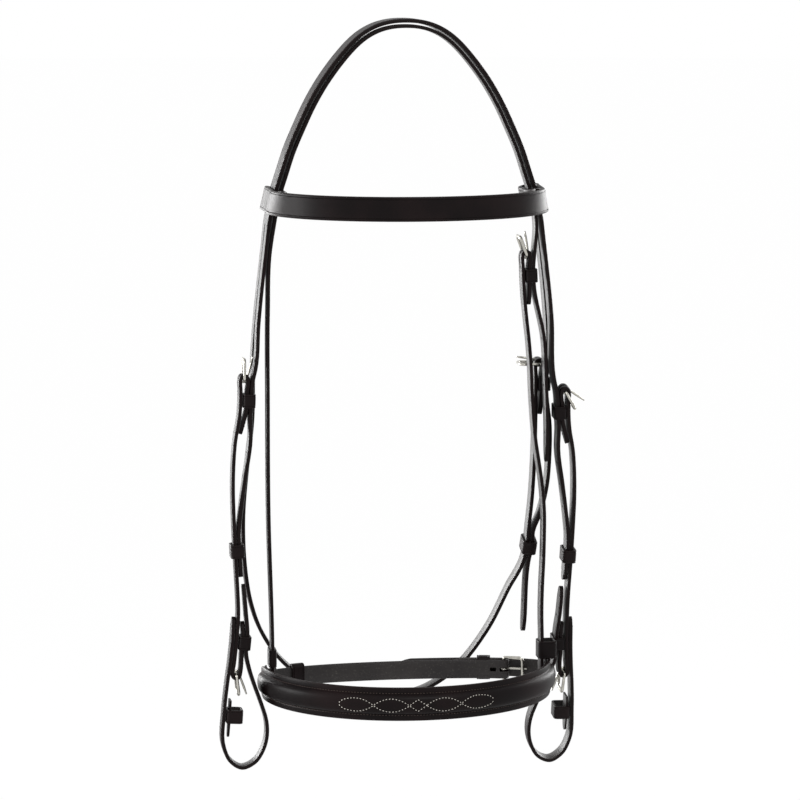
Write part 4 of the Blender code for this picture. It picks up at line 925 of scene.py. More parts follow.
def keeper_section(height):
    """Corners (across, out) of a keeper's wall, its two rims rounded and creased."""
    w = height / 2
    n = KEEPER_WALL / 2
    b = KEEPER_ROUND
    side = [(w - b, -n), (w, b - n), (w, n - 2 * b), (w - b / 2, n - b / 2), (w - 2 * b, n)]
    side += pressed_line(w - KEEPER_CREASE_IN, n)
    return side + mirrored(side)


def rounded_ring(half, low, high, low_corner, high_corner, steps):
    """A closed ring of (across, up, bend) round an oblong whose corners are rounded."""
    ring = []
    corners = ((1, high - high_corner, high_corner), (-1, high - high_corner, high_corner),
               (-1, low + low_corner, low_corner), (1, low + low_corner, low_corner))
    for quarter, (sign, level, corner) in enumerate(corners):
        for step in range(steps + 1):
            bend = math.radians(90.0 * (quarter + step / steps))
            across = sign * (half - corner) + corner * math.cos(bend)
            ring.append((across, level + corner * math.sin(bend), bend))
    return ring + ring[:1]


def keeper_band(node, centre, across, out, strap_width, thick, slack=0.0, height=KEEPER_HEIGHT):
    """A creased leather band round a strap's width and an opening so thick, in place of its CAD node."""
    along = across.cross(out)
    mid = KEEPER_WALL / 2
    wide = strap_width / 2 + KEEPER_SIDE_CLEARANCE + slack + mid
    tall = thick / 2 + slack + mid
    path = []
    for a, o, bend in rounded_ring(wide, -tall, tall, KEEPER_BEND - mid, KEEPER_BEND - mid, KEEPER_TURNS):
        path.append((centre + across * a + out * o, across * math.cos(bend) + out * math.sin(bend)))
    corners = keeper_section(height)
    rings = [[spot + along * a + normal * o for a, o in corners] for spot, normal in path]
    mesh = grow_along(corners, KEEPER_WALL, rings, lengths_along([spot for spot, _ in path]), True)
    add_piece(node + "_leather", mesh, LEATHER, node)


def wire(node, path, frames, radii, closed):
    """A round nickel wire along a path, in place of its CAD node."""
    turns = [2 * math.pi * k / WIRE_CORNERS for k in range(WIRE_CORNERS)]
    corners = [(math.cos(turn), math.sin(turn)) for turn in turns]
    rings = []
    for spot, (one, other), (wide, tall) in zip(path, frames, radii):
        rings.append([spot + one * (a * wide) + other * (o * tall) for a, o in corners])
    mesh = grow_along(corners, 2.0, rings, [0.0] * len(rings), closed)
    for face in mesh.faces:
        face.material_index = 0
    add_piece(node + "_metal", mesh, ["nickel_plate"], node)


def make_frame(node, bar, across, lie, rise, width):
    """A buckle's wire frame, thin at its bar, swelling and a little flattened at its far end."""
    half = width / 2 + FRAME_SIDE_CLEARANCE + FRAME_RADIUS
    flat = rounded_ring(half, 0.0, FRAME_LENGTH, BAR_CORNER, FRAME_CORNER, WIRE_TURNS)
    path = [bar + across * a + lie * far for a, far, _ in flat]
    frames = [(across * math.cos(bend) + lie * math.sin(bend), rise) for _, _, bend in flat]
    radii = []
    for _, far, _ in flat:
        share = min(max(far / FRAME_LENGTH, 0.0), 1.0)
        thick = BAR_RADIUS + (FRAME_RADIUS - BAR_RADIUS) * min(share / BAR_END_SHARE, 1.0)
        thick *= 1.0 + (FRAME_SWELL_SHARE - 1.0) * share * share
        radii.append((thick, thick * (1.0 + (FLAT_SHARE - 1.0) * share)))
    wire(node, path, frames, radii, True)


def make_tongue(node, bar, across, lie, rise):
    """A tongue rolled round the bar, with a tapered tip over the frame's far end."""
    over = FRAME_RADIUS * FRAME_SWELL_SHARE + TONGUE_RADIUS + GAP
    end = FRAME_LENGTH + FRAME_RADIUS * FRAME_SWELL_SHARE + TONGUE_OVERHANG
    flat = []
    for k in range(TONGUE_TURNS + 1):
        bend = math.radians(90.0 + TONGUE_WRAP_DEG * (1 - k / TONGUE_TURNS))
        flat.append((WRAP_RADIUS * math.cos(bend), WRAP_RADIUS * math.sin(bend), 1.0, bend))
    upright = math.pi / 2 + math.atan2(over - WRAP_RADIUS, FRAME_LENGTH)
    for share in SHANK_SHARES:
        taper = max((share - TAPER_SHARE) / (1 - TAPER_SHARE), 0.0)
        height = WRAP_RADIUS + (over - WRAP_RADIUS) * min(share * end / FRAME_LENGTH, 1.0)
        flat.append((end * share, height, 1.0 - (1 - TONGUE_TIP_SHARE) * taper, upright))
    flat.append((end + TONGUE_RADIUS * TIP_OUT_SHARE, over, TONGUE_TIP_SHARE / 2, upright))
    path = [bar + lie * far + rise * high for far, high, _, _ in flat]
    frames = [(lie * math.cos(bend) + rise * math.sin(bend), across) for _, _, _, bend in flat]
    wire(node, path, frames, [(TONGUE_RADIUS * share,) * 2 for _, _, share, _ in flat], False)


def turned(away, face, degrees):
    """How a buckle's part lies and which way is up on it, turned from the strap towards the billet."""
    turn = math.radians(degrees)
    return away * math.cos(turn) + face * math.sin(turn), face * math.cos(turn) - away * math.sin(turn)


def buckle(prefix, bar, across, away, face, width):
    """A buckle's frame and its tongue on one bar, each at its rest angle."""
    frame_deg, tongue_deg = BUCKLE_DEG[prefix]
    make_frame(prefix + "_frame", bar, across, *turned(away, face, frame_deg), width)
    make_tongue(prefix + "_tongue", bar, across, *turned(away, face, frame_deg + tongue_deg))


def crown_corners():
    """Corners of the crown's two halves while they are one strap: square and flat along the coming slit."""
    n = CROWN_PLY / 2
    front = []
    for k, (a, o) in enumerate(strap_section(STRAP_WIDTH, CROWN_PLY)):
        if 1 <= k <= SLIT_CORNERS:
            a, o = STRAP_WIDTH / 2, n * (2 * (k - 1) / (SLIT_CORNERS - 1) - 1)
        elif SLIT_CORNERS < k <= SLIT_CORNERS + 3:
            o = n
        front.append((a + FRONT_ROW, o))
    return front, [(-a, o) for a, o in front]


def split_strap(points, side):
    """Route of one split of the crown, its grain outwards on both sides of the head."""
    strap = Strap(points, STRAP_WIDTH, CROWN_PLY, end_point=True)
    for k in range(len(strap.route)):
        way = tangent_at(strap.route, k) * side
        side_way = square_to(ACROSS, way)
        strap.frames[k] = (side_way, way.cross(side_way))
    return strap


def grow_split(mesh, face, strap, first, mirror):
    """Carries one split of the crown on from its end face, down its own route."""
    own = [(a * mirror, o) for a, o in strap_section(STRAP_WIDTH, CROWN_PLY)]
    faces = [face]
    for k in range(1, len(strap.route)):
        spots = dict(enumerate(strap.station(k, own), start=first))
        faces = grow(mesh, faces, strap.runs[k], spots)


def make_crown():
    """The crown: one strap over the poll, slit below the browband into cheek and throat billets."""
    arch = [fixed_place(1, *arch_point(1, shares, 0.0), 0.0) for shares in ARCH_SHARES]
    arch = [Vector((-spot.x, spot.y, spot.z)) for spot in reversed(arch[1:])] + arch
    coarse = [spot for spot in smooth_route(arch) if spot.z > CROWN_RISE - SPLIT_DROP]
    poll = Strap(coarse, CROWN_WIDTH, CROWN_PLY)
    front, back = crown_corners()
    size = len(front)
    mesh, verts = new_sweep(front + back, CROWN_PLY, poll.station(0, front + back))
    middle = verts[1:SLIT_CORNERS + 1] + verts[size + 1:size + SLIT_CORNERS + 1][::-1]
    ends = [mesh.faces.new(verts[:size]), mesh.faces.new(middle), mesh.faces.new(verts[size:])]
    left_front, _, left_back = ends
    for k in range(1, len(poll.route)):
        ends = grow(mesh, ends, poll.runs[k], poll.station(k, front + back))
    number = mesh.verts.layers.int["corner"]
    right_front = next(face for face in ends if all(vert[number] < size for vert in face.verts))
    right_back = next(face for face in ends if all(vert[number] >= size for vert in face.verts))
    below = [shares for shares in ARCH_SHARES if shares[1] * ARCH_DROP > SPLIT_DROP + SWEEP_STEP / 2]
    sides = ((-1, coarse[0], left_front, left_back, throat_points()),
             (1, coarse[-1], right_front, right_back, throat_billet_points()))
    splits = []
    for side, start, front_face, back_face, rest in sides:
        line = [start] + [fixed_place(side, *arch_point(side, shares, 0.0), 0.0) for shares in below]
        cheek = [spot + ACROSS * FRONT_ROW for spot in line] + crown_front_points(side)
        splits.append(split_strap([spot + ACROSS * BACK_ROW for spot in line[:-1]] + rest, side))
        grow_split(mesh, front_face, split_strap(cheek, side), 0, 1)
        grow_split(mesh, back_face, splits[-1], size, -1)
    sort_sides(mesh)
    piece = add_piece("crown_leather", mesh, LEATHER, "crown")
    holes = holes_along(throat_billet_points(), ACROSS, THROAT_HOLES)
    for side in (-1, 1):
        holes += holes_along(crown_front_points(side), ACROSS, CHEEK_HOLES)
    cut_away(piece, [(throat_bar(), ACROSS, UPRIGHT)], holes)
    throat = splits[0]
    inside = throat_bar().x - THROAT_FOLD
    low, high = [throat.run_near(throat_place(inside, drop))
                 for drop in (THROAT_TAIL_DROP, THROAT_BAR_DROP + SLOT_DEPTH)]
    sew("crown", fold_rows(throat, low, high, -1, True))


def cheek_points(side, top_bar, bit_bar, up):
    """Route of a cheekpiece from its upper tail, over both bars, to its lower tail."""
    half = KEEPER_HALF + EDGE_BEVEL
    points = [cheek_line(side, CHEEK_TAIL_DROP, PLY + GAP)]
    points += [cheek_line(side, CHEEK_KEEPER_DROP + end, KEEPER_PLIES) for end in (half, -half)]
    points += fold_points(top_bar, OUTWARD * -side, up)
    hang = spread(CHEEK_BAR_DROP + SLOT_DEPTH, BIT_BAR_DROP - SLOT_DEPTH, DROP_STEP)
    points += [cheek_line(side, drop, 0.0) for drop in hang]
    points += fold_points(bit_bar, OUTWARD * side, -up)
    points += [cheek_line(side, BIT_KEEPER_DROP + end, KEEPER_PLIES) for end in (half, -half)]
    return points + [cheek_line(side, BIT_TAIL_DROP, PLY + 2 * GAP)]


def billet_points(side):
    """Route of a bit billet, down outside the cheekpiece, round the bit's place and up inside."""
    half = KEEPER_HALF + GAP
    top = BIT_KEEPER_DROP - half
    bend_start = BIT_BAR_DROP + LOOP_SHARES[0][0] * LOOP_LENGTH
    hang = spread(BIT_TOP_DROP, bend_start - SWEEP_STEP, DROP_STEP)
    points = [cheek_line(side, drop, -(PLY + GAP)) for drop in hang]
    for way, out in LOOP_SHARES:
        points.append(place(side, out * HEAD_HALF, BIT_BAR_DROP + way * LOOP_LENGTH, FRONT_ROW))
    for end in (half, 0.0, -half):
        points.append(cheek_line(side, BIT_KEEPER_DROP + end, KEEPER_PLIES + PLY + GAP))
    for way, inside in RETURN_SHARES:
        points.append(cheek_line(side, top + way * (BIT_TIP_DROP - top), inside * HEAD_HALF))
    return points


def make_cheek(side):
    """One cheekpiece with its bit billet, keepers, runner, tab and two buckles."""
    label = "left" if side < 0 else "right"
    inward = OUTWARD * -side
    up, width_way = hang_axes(side)
    top_bar, bit_bar = [cheek_line(side, drop, FOLD_RADIUS) for drop in (CHEEK_BAR_DROP, BIT_BAR_DROP)]
    cheek = Strap(cheek_points(side, top_bar, bit_bar, up), STRAP_WIDTH, PLY, width_way, True, True, side)
    sweep_strap("cheekpiece_" + label, cheek, [(top_bar, width_way, up), (bit_bar, width_way, -up)])
    buckle("cheek_buckle_" + label, top_bar, width_way, up, inward, STRAP_WIDTH)
    buckle("bit_buckle_" + label, bit_bar, width_way, -up, inward, STRAP_WIDTH)
    points = billet_points(side)
    billet = Strap(points, STRAP_WIDTH, PLY, width_way, True, True, side)
    sweep_strap("bit_billet_" + label, billet, (), holes_along(points, width_way, BIT_HOLES))
    tab_inside = -(PLY + GAP) + PLY / 2 + KEEPER_WALL + 2 * GAP + LINING_PLY / 2
    tab = [cheek_line(side, drop, tab_inside) for drop in spread(TAB_TOP_DROP, TAB_POINT_DROP, DROP_STEP)]
    sweep_strap("bit_tab_" + label, Strap(tab, STRAP_WIDTH, LINING_PLY, end_point=True, grain=side))
    make_cheek_keepers(side, label)
    low, high = [cheek.run_near(cheek_line(side, drop, 0.0))
                 for drop in (CHEEK_BAR_DROP + SLOT_DEPTH, CHEEK_TAIL_DROP)]
    sewn = billet.run_near(cheek_line(side, LOWER_KEEPER_DROP + KEEPER_HEIGHT, -(PLY + GAP)))
    rows = fold_rows(cheek, low, high, 1, False)
    rows.append((billet, POINT_LENGTH / 2, sewn, 1))
    sew("cheekpiece_" + label, rows + fold_rows(cheek, low, high, 1, True)[1:])


def keeper_on(node, side, drop, near, far, slack=0.0):
    """A keeper on one cheek's straps, open from one distance inside the cheek line to another."""
    middle = (near + far) / 2
    along = (cheek_line(side, drop - KEEPER_HALF, middle)
             - cheek_line(side, drop + KEEPER_HALF, middle)).normalized()
    width_way = square_to(ACROSS, along)
    keeper_band(node, cheek_line(side, drop, middle), width_way, along.cross(width_way), STRAP_WIDTH,
                far - near, slack)


def make_cheek_keepers(side, label):
    """Two keepers sewn between plies, the runner that slides, and the open keeper below the bit buckle."""
    base = PLY / 2 + GAP + KEEPER_WALL
    sewn_in = base + 3 * GAP + PLY
    open_near = base - PLY - GAP
    open_far = open_near + LINING_PLY + 2 * GAP + EMPTY_KEEPER_ROOM
    keeper_on("cheek_keeper_" + label, side, CHEEK_KEEPER_DROP, base, sewn_in + CROWN_PLY)
    keeper_on("cheek_runner_" + label, side, RUNNER_DROP, -PLY / 2, PLY / 2 + GAP + CROWN_PLY, RUNNER_SLACK)
    keeper_on("bit_keeper_" + label, side, BIT_KEEPER_DROP, base, sewn_in + PLY)
    keeper_on("lower_keeper_" + label, side, LOWER_KEEPER_DROP, open_near, open_far)


def hanger_points(side):
    """Lower end of a strap that carries the noseband, inside its ring."""
    drops = (NOSE_DROP - NOSE_WIDTH, NOSE_DROP + HANGER_BELOW)
    return [slip_place(side, hanger_out(side), drop) for drop in drops]


def headstrap_points():
    """Route of the noseband headstrap, up the left side, over the poll and down to its tip on the right."""
    inset = CROWN_RISE - SLIP_RISE + SLIP_DAYLIGHT
    arch = [arch_point(1, shares, inset) for shares in ARCH_SHARES if shares[1] * ARCH_DROP < SLIP_ARCH_END]
    points = hanger_points(-1)[::-1]
    for drop, out in reversed(SLIP_LEFT_SHARES):
        points.append(slip_place(-1, out * HEAD_HALF, drop * LOOP_DROP))
    points += [slip_place(-1, out, drop) for out, drop in reversed(arch[1:])]
    points += [slip_place(1, out, drop) for out, drop in arch]
    beside_fold = 2 * FOLD_RADIUS + (PLY + SLIP_PLY) / 2 + 2 * GAP
    in_keeper = KEEPER_PLIES + (PLY + SLIP_PLY) / 2 + GAP
    points.append(strap_place(SLIP_BAR_DROP, beside_fold))
    points += [strap_place(SLIP_KEEPER_DROP + end, in_keeper) for end in (-KEEPER_HALF, 0.0, KEEPER_HALF)]
    return points + [slip_place(1, out * HEAD_HALF, drop * LOOP_DROP) for drop, out in SLIP_END_SHARES]


def make_headstrap():
    """The noseband headstrap, the strap that it buckles to, and their buckle and keeper."""
    points = headstrap_points()
    slip = Strap(points, SLIP_WIDTH, SLIP_PLY, end_point=True)
    sweep_strap("noseband_headstrap", slip, (), holes_along(points, ACROSS, SLIP_HOLES))
    bar = strap_place(SLIP_BAR_DROP, FOLD_RADIUS)
    points = [strap_place(SLIP_TAIL_DROP, PLY + 2 * GAP)]
    points += [strap_place(SLIP_KEEPER_DROP + end, KEEPER_PLIES) for end in (KEEPER_HALF, -KEEPER_HALF)]
    points += fold_points(bar, OUTWARD, UPRIGHT)
    hang = spread(SLIP_BAR_DROP + SLOT_DEPTH, NOSE_DROP - 2 * NOSE_WIDTH, DROP_STEP)
    points += [strap_place(drop, 0.0) for drop in hang]
    points += hanger_points(1)
    strap = Strap(points, SLIP_WIDTH, PLY, start_point=True)
    sweep_strap("noseband_strap", strap, [(bar, ACROSS, UPRIGHT)])
    buckle("headstrap_buckle", bar, ACROSS, UPRIGHT, OUTWARD, SLIP_WIDTH)
    thick = PLY + SLIP_PLY + 3 * GAP
    low, middle, high = [strap_place(SLIP_KEEPER_DROP + end, 0.0) for end in (-KEEPER_HALF, 0.0, KEEPER_HALF)]
    normal = outward_normal((low - high).normalized())
    centre = middle + normal * (PLY / 2 + GAP + KEEPER_WALL + thick / 2)
    keeper_band("headstrap_keeper", centre, ACROSS, normal, SLIP_WIDTH, thick)
    start, end = [strap.run_near(strap_place(drop, 0.0))
                  for drop in (SLIP_BAR_DROP + SLOT_DEPTH, SLIP_TAIL_DROP)]
    sew("noseband_strap", fold_rows(strap, start, end, -1, False))


def make_throat_fittings():
    """Buckle, keeper and runner of the throat strap."""
    bar = throat_bar()
    buckle("throat_buckle", bar, ACROSS, UPRIGHT, OUTWARD, STRAP_WIDTH)
    near = bar.x - THROAT_FOLD + CROWN_PLY / 2 + GAP + KEEPER_WALL
    thick = 2 * CROWN_PLY + 3 * GAP
    centre = throat_place(near + thick / 2, THROAT_KEEPER_DROP)
    keeper_band("throat_keeper", centre, ACROSS, OUTWARD, STRAP_WIDTH, thick)
    seat, along = throat_runner_seats()[1]
    normal = outward_normal(along)
    keeper_band("throat_runner", seat + normal * (THROAT_APART / 2), square_to(ACROSS, along), normal,
                STRAP_WIDTH, THROAT_APART + CROWN_PLY, RUNNER_SLACK)


def nose_section(angle):
    """Corners (up, out) of the noseband's section at a ring angle: rims, sewn grooves and raised middle."""
    fade = min(max((NOSE_END_DEG - abs(angle)) / NOSE_TAPER_DEG, 0.0), 1.0)
    fade = fade * fade * (3 - 2 * fade)
    width = NOSE_BILLET_WIDTH + (NOSE_WIDTH - NOSE_BILLET_WIDTH) * fade
    if angle > NOSE_END_DEG:
        width *= tip_share((nose_ring(angle, 0.0) - nose_ring(NOSE_TIP_DEG, 0.0)).length)
    w = width / 2
    n = NOSE_RIM / 2
    rounding = min(EDGE_ROUND, w / 3)
    side = rounded_edge(w, n, rounding, rounding)
    side += [(share * w, n + rise * fade * NOSE_RAISE) for share, rise in NOSE_RISE_SHARES]
    return [(0.0, -n)] + side + [(0.0, n + fade * NOSE_RAISE)] + mirrored(side)


def nose_spot(angle, share):
    """Place and outward direction on the noseband's front, at a share of its half width."""
    section = nose_section(angle)
    upper = section[SLIT_CORNERS + 1:len(section) // 2 + 1][::-1]
    a = abs(share) * max(corner for corner, _ in section)
    low = max(k for k in range(len(upper) - 1) if k == 0 or upper[k][0] <= a)
    (a0, o0), (a1, o1) = upper[low], upper[low + 1]
    slope = (o1 - o0) / (a1 - a0)
    sign = 1 if share > 0 else -1
    normal = (nose_normal(angle) - UPRIGHT * (slope * sign)).normalized()
    return nose_ring(angle, o0 + slope * (a - a0), a * sign), normal


def make_noseband():
    """The raised noseband and its lining."""
    reach = math.degrees(POINT_LENGTH / NOSE_HALF)
    angles = spread(NOSE_LEFT_DEG, NOSE_TIP_DEG, FINE_NOSE_DEG)
    angles = [angle for angle in angles if angle < NOSE_TIP_DEG - reach]
    angles += [NOSE_TIP_DEG - reach * share for share in reversed((0.0,) + TIP_RINGS)]
    rings = [[nose_ring(angle, o, a) for a, o in nose_section(angle)] for angle in angles]
    mesh = grow_along(nose_section(0.0), NOSE_RIM, rings, lengths_along([ring[0] for ring in rings]))
    holes = []
    for k in range(NOSE_HOLES):
        angle = NOSE_TIP_DEG - math.degrees((HOLE_FROM_TIP + k * HOLE_PITCH) / NOSE_HALF)
        holes.append((nose_ring(angle, 0.0), nose_normal(angle)))
    cut_away(add_piece("noseband_leather", mesh, LEATHER, "noseband"), (), holes)
    inside = -(NOSE_RIM / 2 + GAP + LINING_PLY / 2)
    points = [nose_ring(angle, inside) for angle in spread(-LINING_END_DEG, LINING_END_DEG, NOSE_STEP_DEG)]
    lining = Strap(points, NOSE_WIDTH - 4 * EDGE_BEVEL, LINING_PLY, UPRIGHT)
    sweep_strap("noseband_lining", lining, finishes=("lining", "lining", "edge"))


def stitch_noseband():
    """Dark rows along the noseband's raised part, and the pale traditional pattern across its front."""
    mesh = bmesh.new()
    for share in (-SEWN_SHARE, SEWN_SHARE):
        angle = -SEWN_END_DEG
        while angle < SEWN_END_DEG:
            spot, out = nose_spot(angle, share)
            ahead, _ = nose_spot(angle + 1.0, share)
            add_stitch(mesh, spot, (ahead - spot).normalized(), out, sizes().stitch_length)
            angle += sizes().stitch_pitch / (ahead - spot).length
    add_piece("noseband_stitching", mesh, ["brown_thread"])
    mesh = bmesh.new()
    for middle, half, tall, left, right in PATTERN:
        for sign in (-1, 1):
            stitch_curve(mesh, middle, half, sign * tall, left, right)
    add_piece("noseband_pattern", mesh, ["pale_thread"])


def stitch_curve(mesh, middle, half, tall, left, right):
    """One curved row of the pattern across the noseband's front."""
    per_degree = (nose_ring(0.5, 0.0) - nose_ring(-0.5, 0.0)).length
    spots = []
    for k in range(PATTERN_SAMPLES + 1):
        along = -math.cos(math.pi * k / PATTERN_SAMPLES)
        inner, outer = left if along < 0 else right
        rise = tall * max(1.0 - abs(along) ** inner, 0.0) ** outer
        spots.append(nose_spot((middle + along * half) / per_degree, rise or GAP))
    travelled = 0.0
    wanted = sizes().pattern_pitch / 2
    for (spot, out), (ahead, _) in zip(spots, spots[1:]):
        step = (ahead - spot).length
        while travelled + step >= wanted:
            centre = spot.lerp(ahead, (wanted - travelled) / step)
            add_stitch(mesh, centre, (ahead - spot).normalized(), out, sizes().pattern_length)
            wanted += sizes().pattern_pitch
        travelled += step


def make_chin():
    """The chin strap with its buckle, keeper and runner."""
    bar, away, face, level = chin_frame()
    sewn = -(NOSE_RIM / 2 + GAP + LINING_PLY + GAP + PLY / 2) - GAP
    keep = [chin_angle(CHIN_KEEPER_BACK + end) for end in (KEEPER_HALF, -KEEPER_HALF)]
    tail = chin_angle(CHIN_TAIL_BACK)

    def on_strap(angle):
        depth = sewn + (level - sewn) * (angle - CHIN_LEFT_DEG) / (tail - CHIN_LEFT_DEG)
        return nose_ring(angle, depth)

    points = [on_strap(angle) for angle in spread(CHIN_LEFT_DEG, tail, NOSE_STEP_DEG)]
    points += [nose_ring(angle, level) for angle in keep]
    points += fold_points(bar, -face, away)
    points += [nose_ring(angle, level + KEEPER_PLIES) for angle in reversed(keep)]
    points.append(nose_ring(tail, level + PLY + 2 * GAP))
    chin = Strap(points, NOSE_BILLET_WIDTH, PLY, UPRIGHT, end_point=True, grain=-1)
    sweep_strap("chin_strap", chin, [(bar, UPRIGHT, away)])
    buckle("noseband_buckle", bar, UPRIGHT, away, face, NOSE_BILLET_WIDTH)
    near = level + PLY / 2 + GAP + KEEPER_WALL
    far = NOSE_RIM / 2 + RUNNER_SLACK
    angle = chin_angle(CHIN_KEEPER_BACK)
    keeper_band("chin_keeper", nose_ring(angle, (near + far) / 2), UPRIGHT, nose_normal(angle),
                NOSE_BILLET_WIDTH, far - near)
    keeper_band("chin_runner", on_strap(CHIN_RUNNER_DEG), UPRIGHT, nose_normal(CHIN_RUNNER_DEG),
                NOSE_BILLET_WIDTH, PLY, RUNNER_SLACK)
    low, high = [chin.run_near(nose_ring(at, level)) for at in (tail, chin_angle(SLOT_DEPTH))]
    sew("chin_strap", fold_rows(chin, low, high, -1, True) + [(chin, STITCH_IN, CHIN_SEWN_LENGTH, -1)])


def make_noseband_loops():
    """Leather loops on the noseband's upper edge, round the two straps that carry it."""
    drop = NOSE_DROP - NOSE_WIDTH / 2 - GAP - LOOP_HEIGHT / 2
    for side, label, ply, room in ((-1, "left", SLIP_PLY, 0.0), (1, "right", PLY, LOOP_ROOM)):
        thick = ply + 2 * GAP + room
        centre = slip_place(side, hanger_out(side) - ply / 2 - GAP + thick / 2, drop)
        keeper_band("noseband_loop_" + label, centre, ACROSS, OUTWARD, SLIP_WIDTH, thick, height=LOOP_HEIGHT)


def make_browband():
    """The browband, its ends turned back round the crown and sewn down behind."""
    slope = (arch_out(BROW_DROP + BROW_WIDTH / 2) - arch_out(BROW_DROP - BROW_WIDTH / 2)) / BROW_WIDTH
    outer = CROWN_PLY / 2 + BROW_ROOM + BROW_PLY / 2
    inner = -(CROWN_PLY / 2 + SLIP_UNDER_CROWN + SLIP_PLY + BROW_ROOM + BROW_PLY / 2)
    reach = CROWN_WIDTH / 2 + BROW_ROOM + BROW_PLY / 2
    corner = BROW_CORNER
    half_turn = corner * (1 - math.sqrt(0.5))
    wide = arch_out(BROW_DROP) + outer
    deep = BROW_BOW - reach
    tail_angle = math.degrees(math.acos(BROW_TAIL / deep))

    def across(spot):
        share = min(max(1.0 + (spot.y + reach) / (deep / 2), 0.0), 1.0)
        tilt = slope * share * share * (3 - 2 * share)
        return Vector((-tilt if spot.x > 0 else tilt, 0.0, 1.0)).normalized()

    def bow(angle, inset):
        turn = math.radians(angle)
        normal = Vector((math.sin(turn) / wide, -math.cos(turn) / deep, 0.0)).normalized()
        spot = Vector((wide * math.sin(turn), -reach - deep * math.cos(turn), CROWN_RISE - BROW_DROP))
        return spot - normal * inset

    def end_loop(side):
        normal = Vector((side, 0.0, slope)).normalized()
        middle = fixed_place(side, arch_out(BROW_DROP), BROW_DROP, 0.0)
        section = ((outer, -reach / 2), (outer, reach - corner), (outer - half_turn, reach - half_turn),
                   (outer - corner, reach), (inner + corner, reach), (inner + half_turn, reach - half_turn),
                   (inner, reach - corner), (inner, 0.0), (inner, -reach))
        turning = tail_angle + (90 - tail_angle) * BROW_TAIL_TURN_SHARE
        tail = [bow(side * turning, BROW_PLY + 5 * GAP), bow(side * tail_angle, BROW_PLY + 4 * GAP)]
        return [middle + normal * out + ACROSS * back for out, back in section] + tail

    front = [bow(BROW_HALF_DEG * (2 * k / BROW_STEPS - 1), 0.0) for k in range(BROW_STEPS + 1)]
    band = Strap(end_loop(-1)[::-1] + front + end_loop(1), BROW_WIDTH, BROW_PLY, across)
    sweep_strap("browband", band)
    rows = []
    for side in (-1, 1):
        rows.append([band] + [band.run_near(bow(side * angle, 0.0)) for angle in (tail_angle, BROW_HALF_DEG)])
    sew("browband", rows)


class Socket:
    """A value in a material, on which Python's signs do the shader's maths."""

    def __init__(self, finish, link):
        self.finish = finish
        self.link = link

    def maths(self, operation, one, other=0.0):
        return self.finish.node("ShaderNodeMath", {"operation": operation}, {0: one, 1: other})

    def __add__(self, other):
        return self.maths("ADD", self, other)

    def __sub__(self, other):
        return self.maths("SUBTRACT", self, other)

    def __rsub__(self, other):
        return self.maths("SUBTRACT", other, self)

    def __mul__(self, other):
        return self.maths("MULTIPLY", self, other)

    def __abs__(self):
        return self.maths("ABSOLUTE", self)

    __radd__ = __add__
    __rmul__ = __mul__


class Finish:
    """A material, or the world's light, whose nodes are added one call at a time."""

    def __init__(self, owner, shader="Principled BSDF"):
        owner.use_nodes = True
        self.tree = owner.node_tree
        self.shader = self.tree.nodes[shader]

    def node(self, kind, settings, sockets, out=0):
        """Adds one node with its settings and the values or links of its sockets."""
        made = self.tree.nodes.new(kind)
        for name, value in settings.items():
            setattr(made, name, value)
        for name, value in sockets.items():
            self.feed(made.inputs[name], value)
        return Socket(self, made.outputs[out])

    def feed(self, socket, value):
        """Gives a socket a value or a link."""
        if isinstance(value, Socket):
            self.tree.links.new(value.link, socket)
        else:
            socket.default_value = value

    def set(self, **values):
        """Feeds the shader's own sockets, named in Python's way."""
        for name, value in values.items():
            self.feed(self.shader.inputs[name.replace("_", " ").title().replace("Ior", "IOR")], value)

    def here(self):
        return self.node("ShaderNodeTexCoord", {}, {}, "Object")

    def noise(self, scale, detail, rough):
        sockets = {"Scale": scale, "Detail": detail, "Roughness": rough, "Vector": self.here()}
        return self.node("ShaderNodeTexNoise", {}, sockets, "Fac")

    def pores(self):
        return self.node("ShaderNodeTexVoronoi", {}, {"Scale": PORE_SCALE, "Vector": self.here()}, "Distance")

    def span(self, value, low, high):
        sockets = {"Value": value, "From Min": low, "From Max": high}
        return self.node("ShaderNodeMapRange", {"interpolation_type": "SMOOTHSTEP"}, sockets)

    def mix(self, factor, one, other):
        return self.node("ShaderNodeMix", {"data_type": "RGBA"}, {0: factor, 6: one, 7: other}, 2)

    def vary(self, value, least, more):
        return least + more * value

    def relief(self, height, distance, strength):
        bump = self.node("ShaderNodeBump", {}, {"Height": height, "Distance": distance, "Strength": strength})
        self.set(normal=bump)

    def edge_share(self):
        """How near a strap's edge a point is, from 0 at the middle to 1 at the edge."""
        lay = self.node("ShaderNodeUVMap", {"uv_map": "StrapMap"}, {})
        return abs(self.node("ShaderNodeSeparateXYZ", {}, {0: lay}, 1))

    def show_white(self, white, share):
        """Mixes the shader towards plain white for the camera, in reflections and through glass."""
        surface = self.shader.outputs[0].links[0].to_socket
        seen = self.node("ShaderNodeLightPath", {}, {}, "Is Camera Ray")
        for ray in ("Is Glossy Ray", "Is Transmission Ray"):
            seen = seen.maths("MAXIMUM", seen, self.node("ShaderNodeLightPath", {}, {}, ray))
        plain = Socket(self, self.shader.outputs[0])
        self.feed(surface, self.node("ShaderNodeMixShader", {}, {0: seen * share, 1: plain, 2: white}))


def new_finish(name):
    """Starts a material."""
    return Finish(bpy.data.materials.new(name))


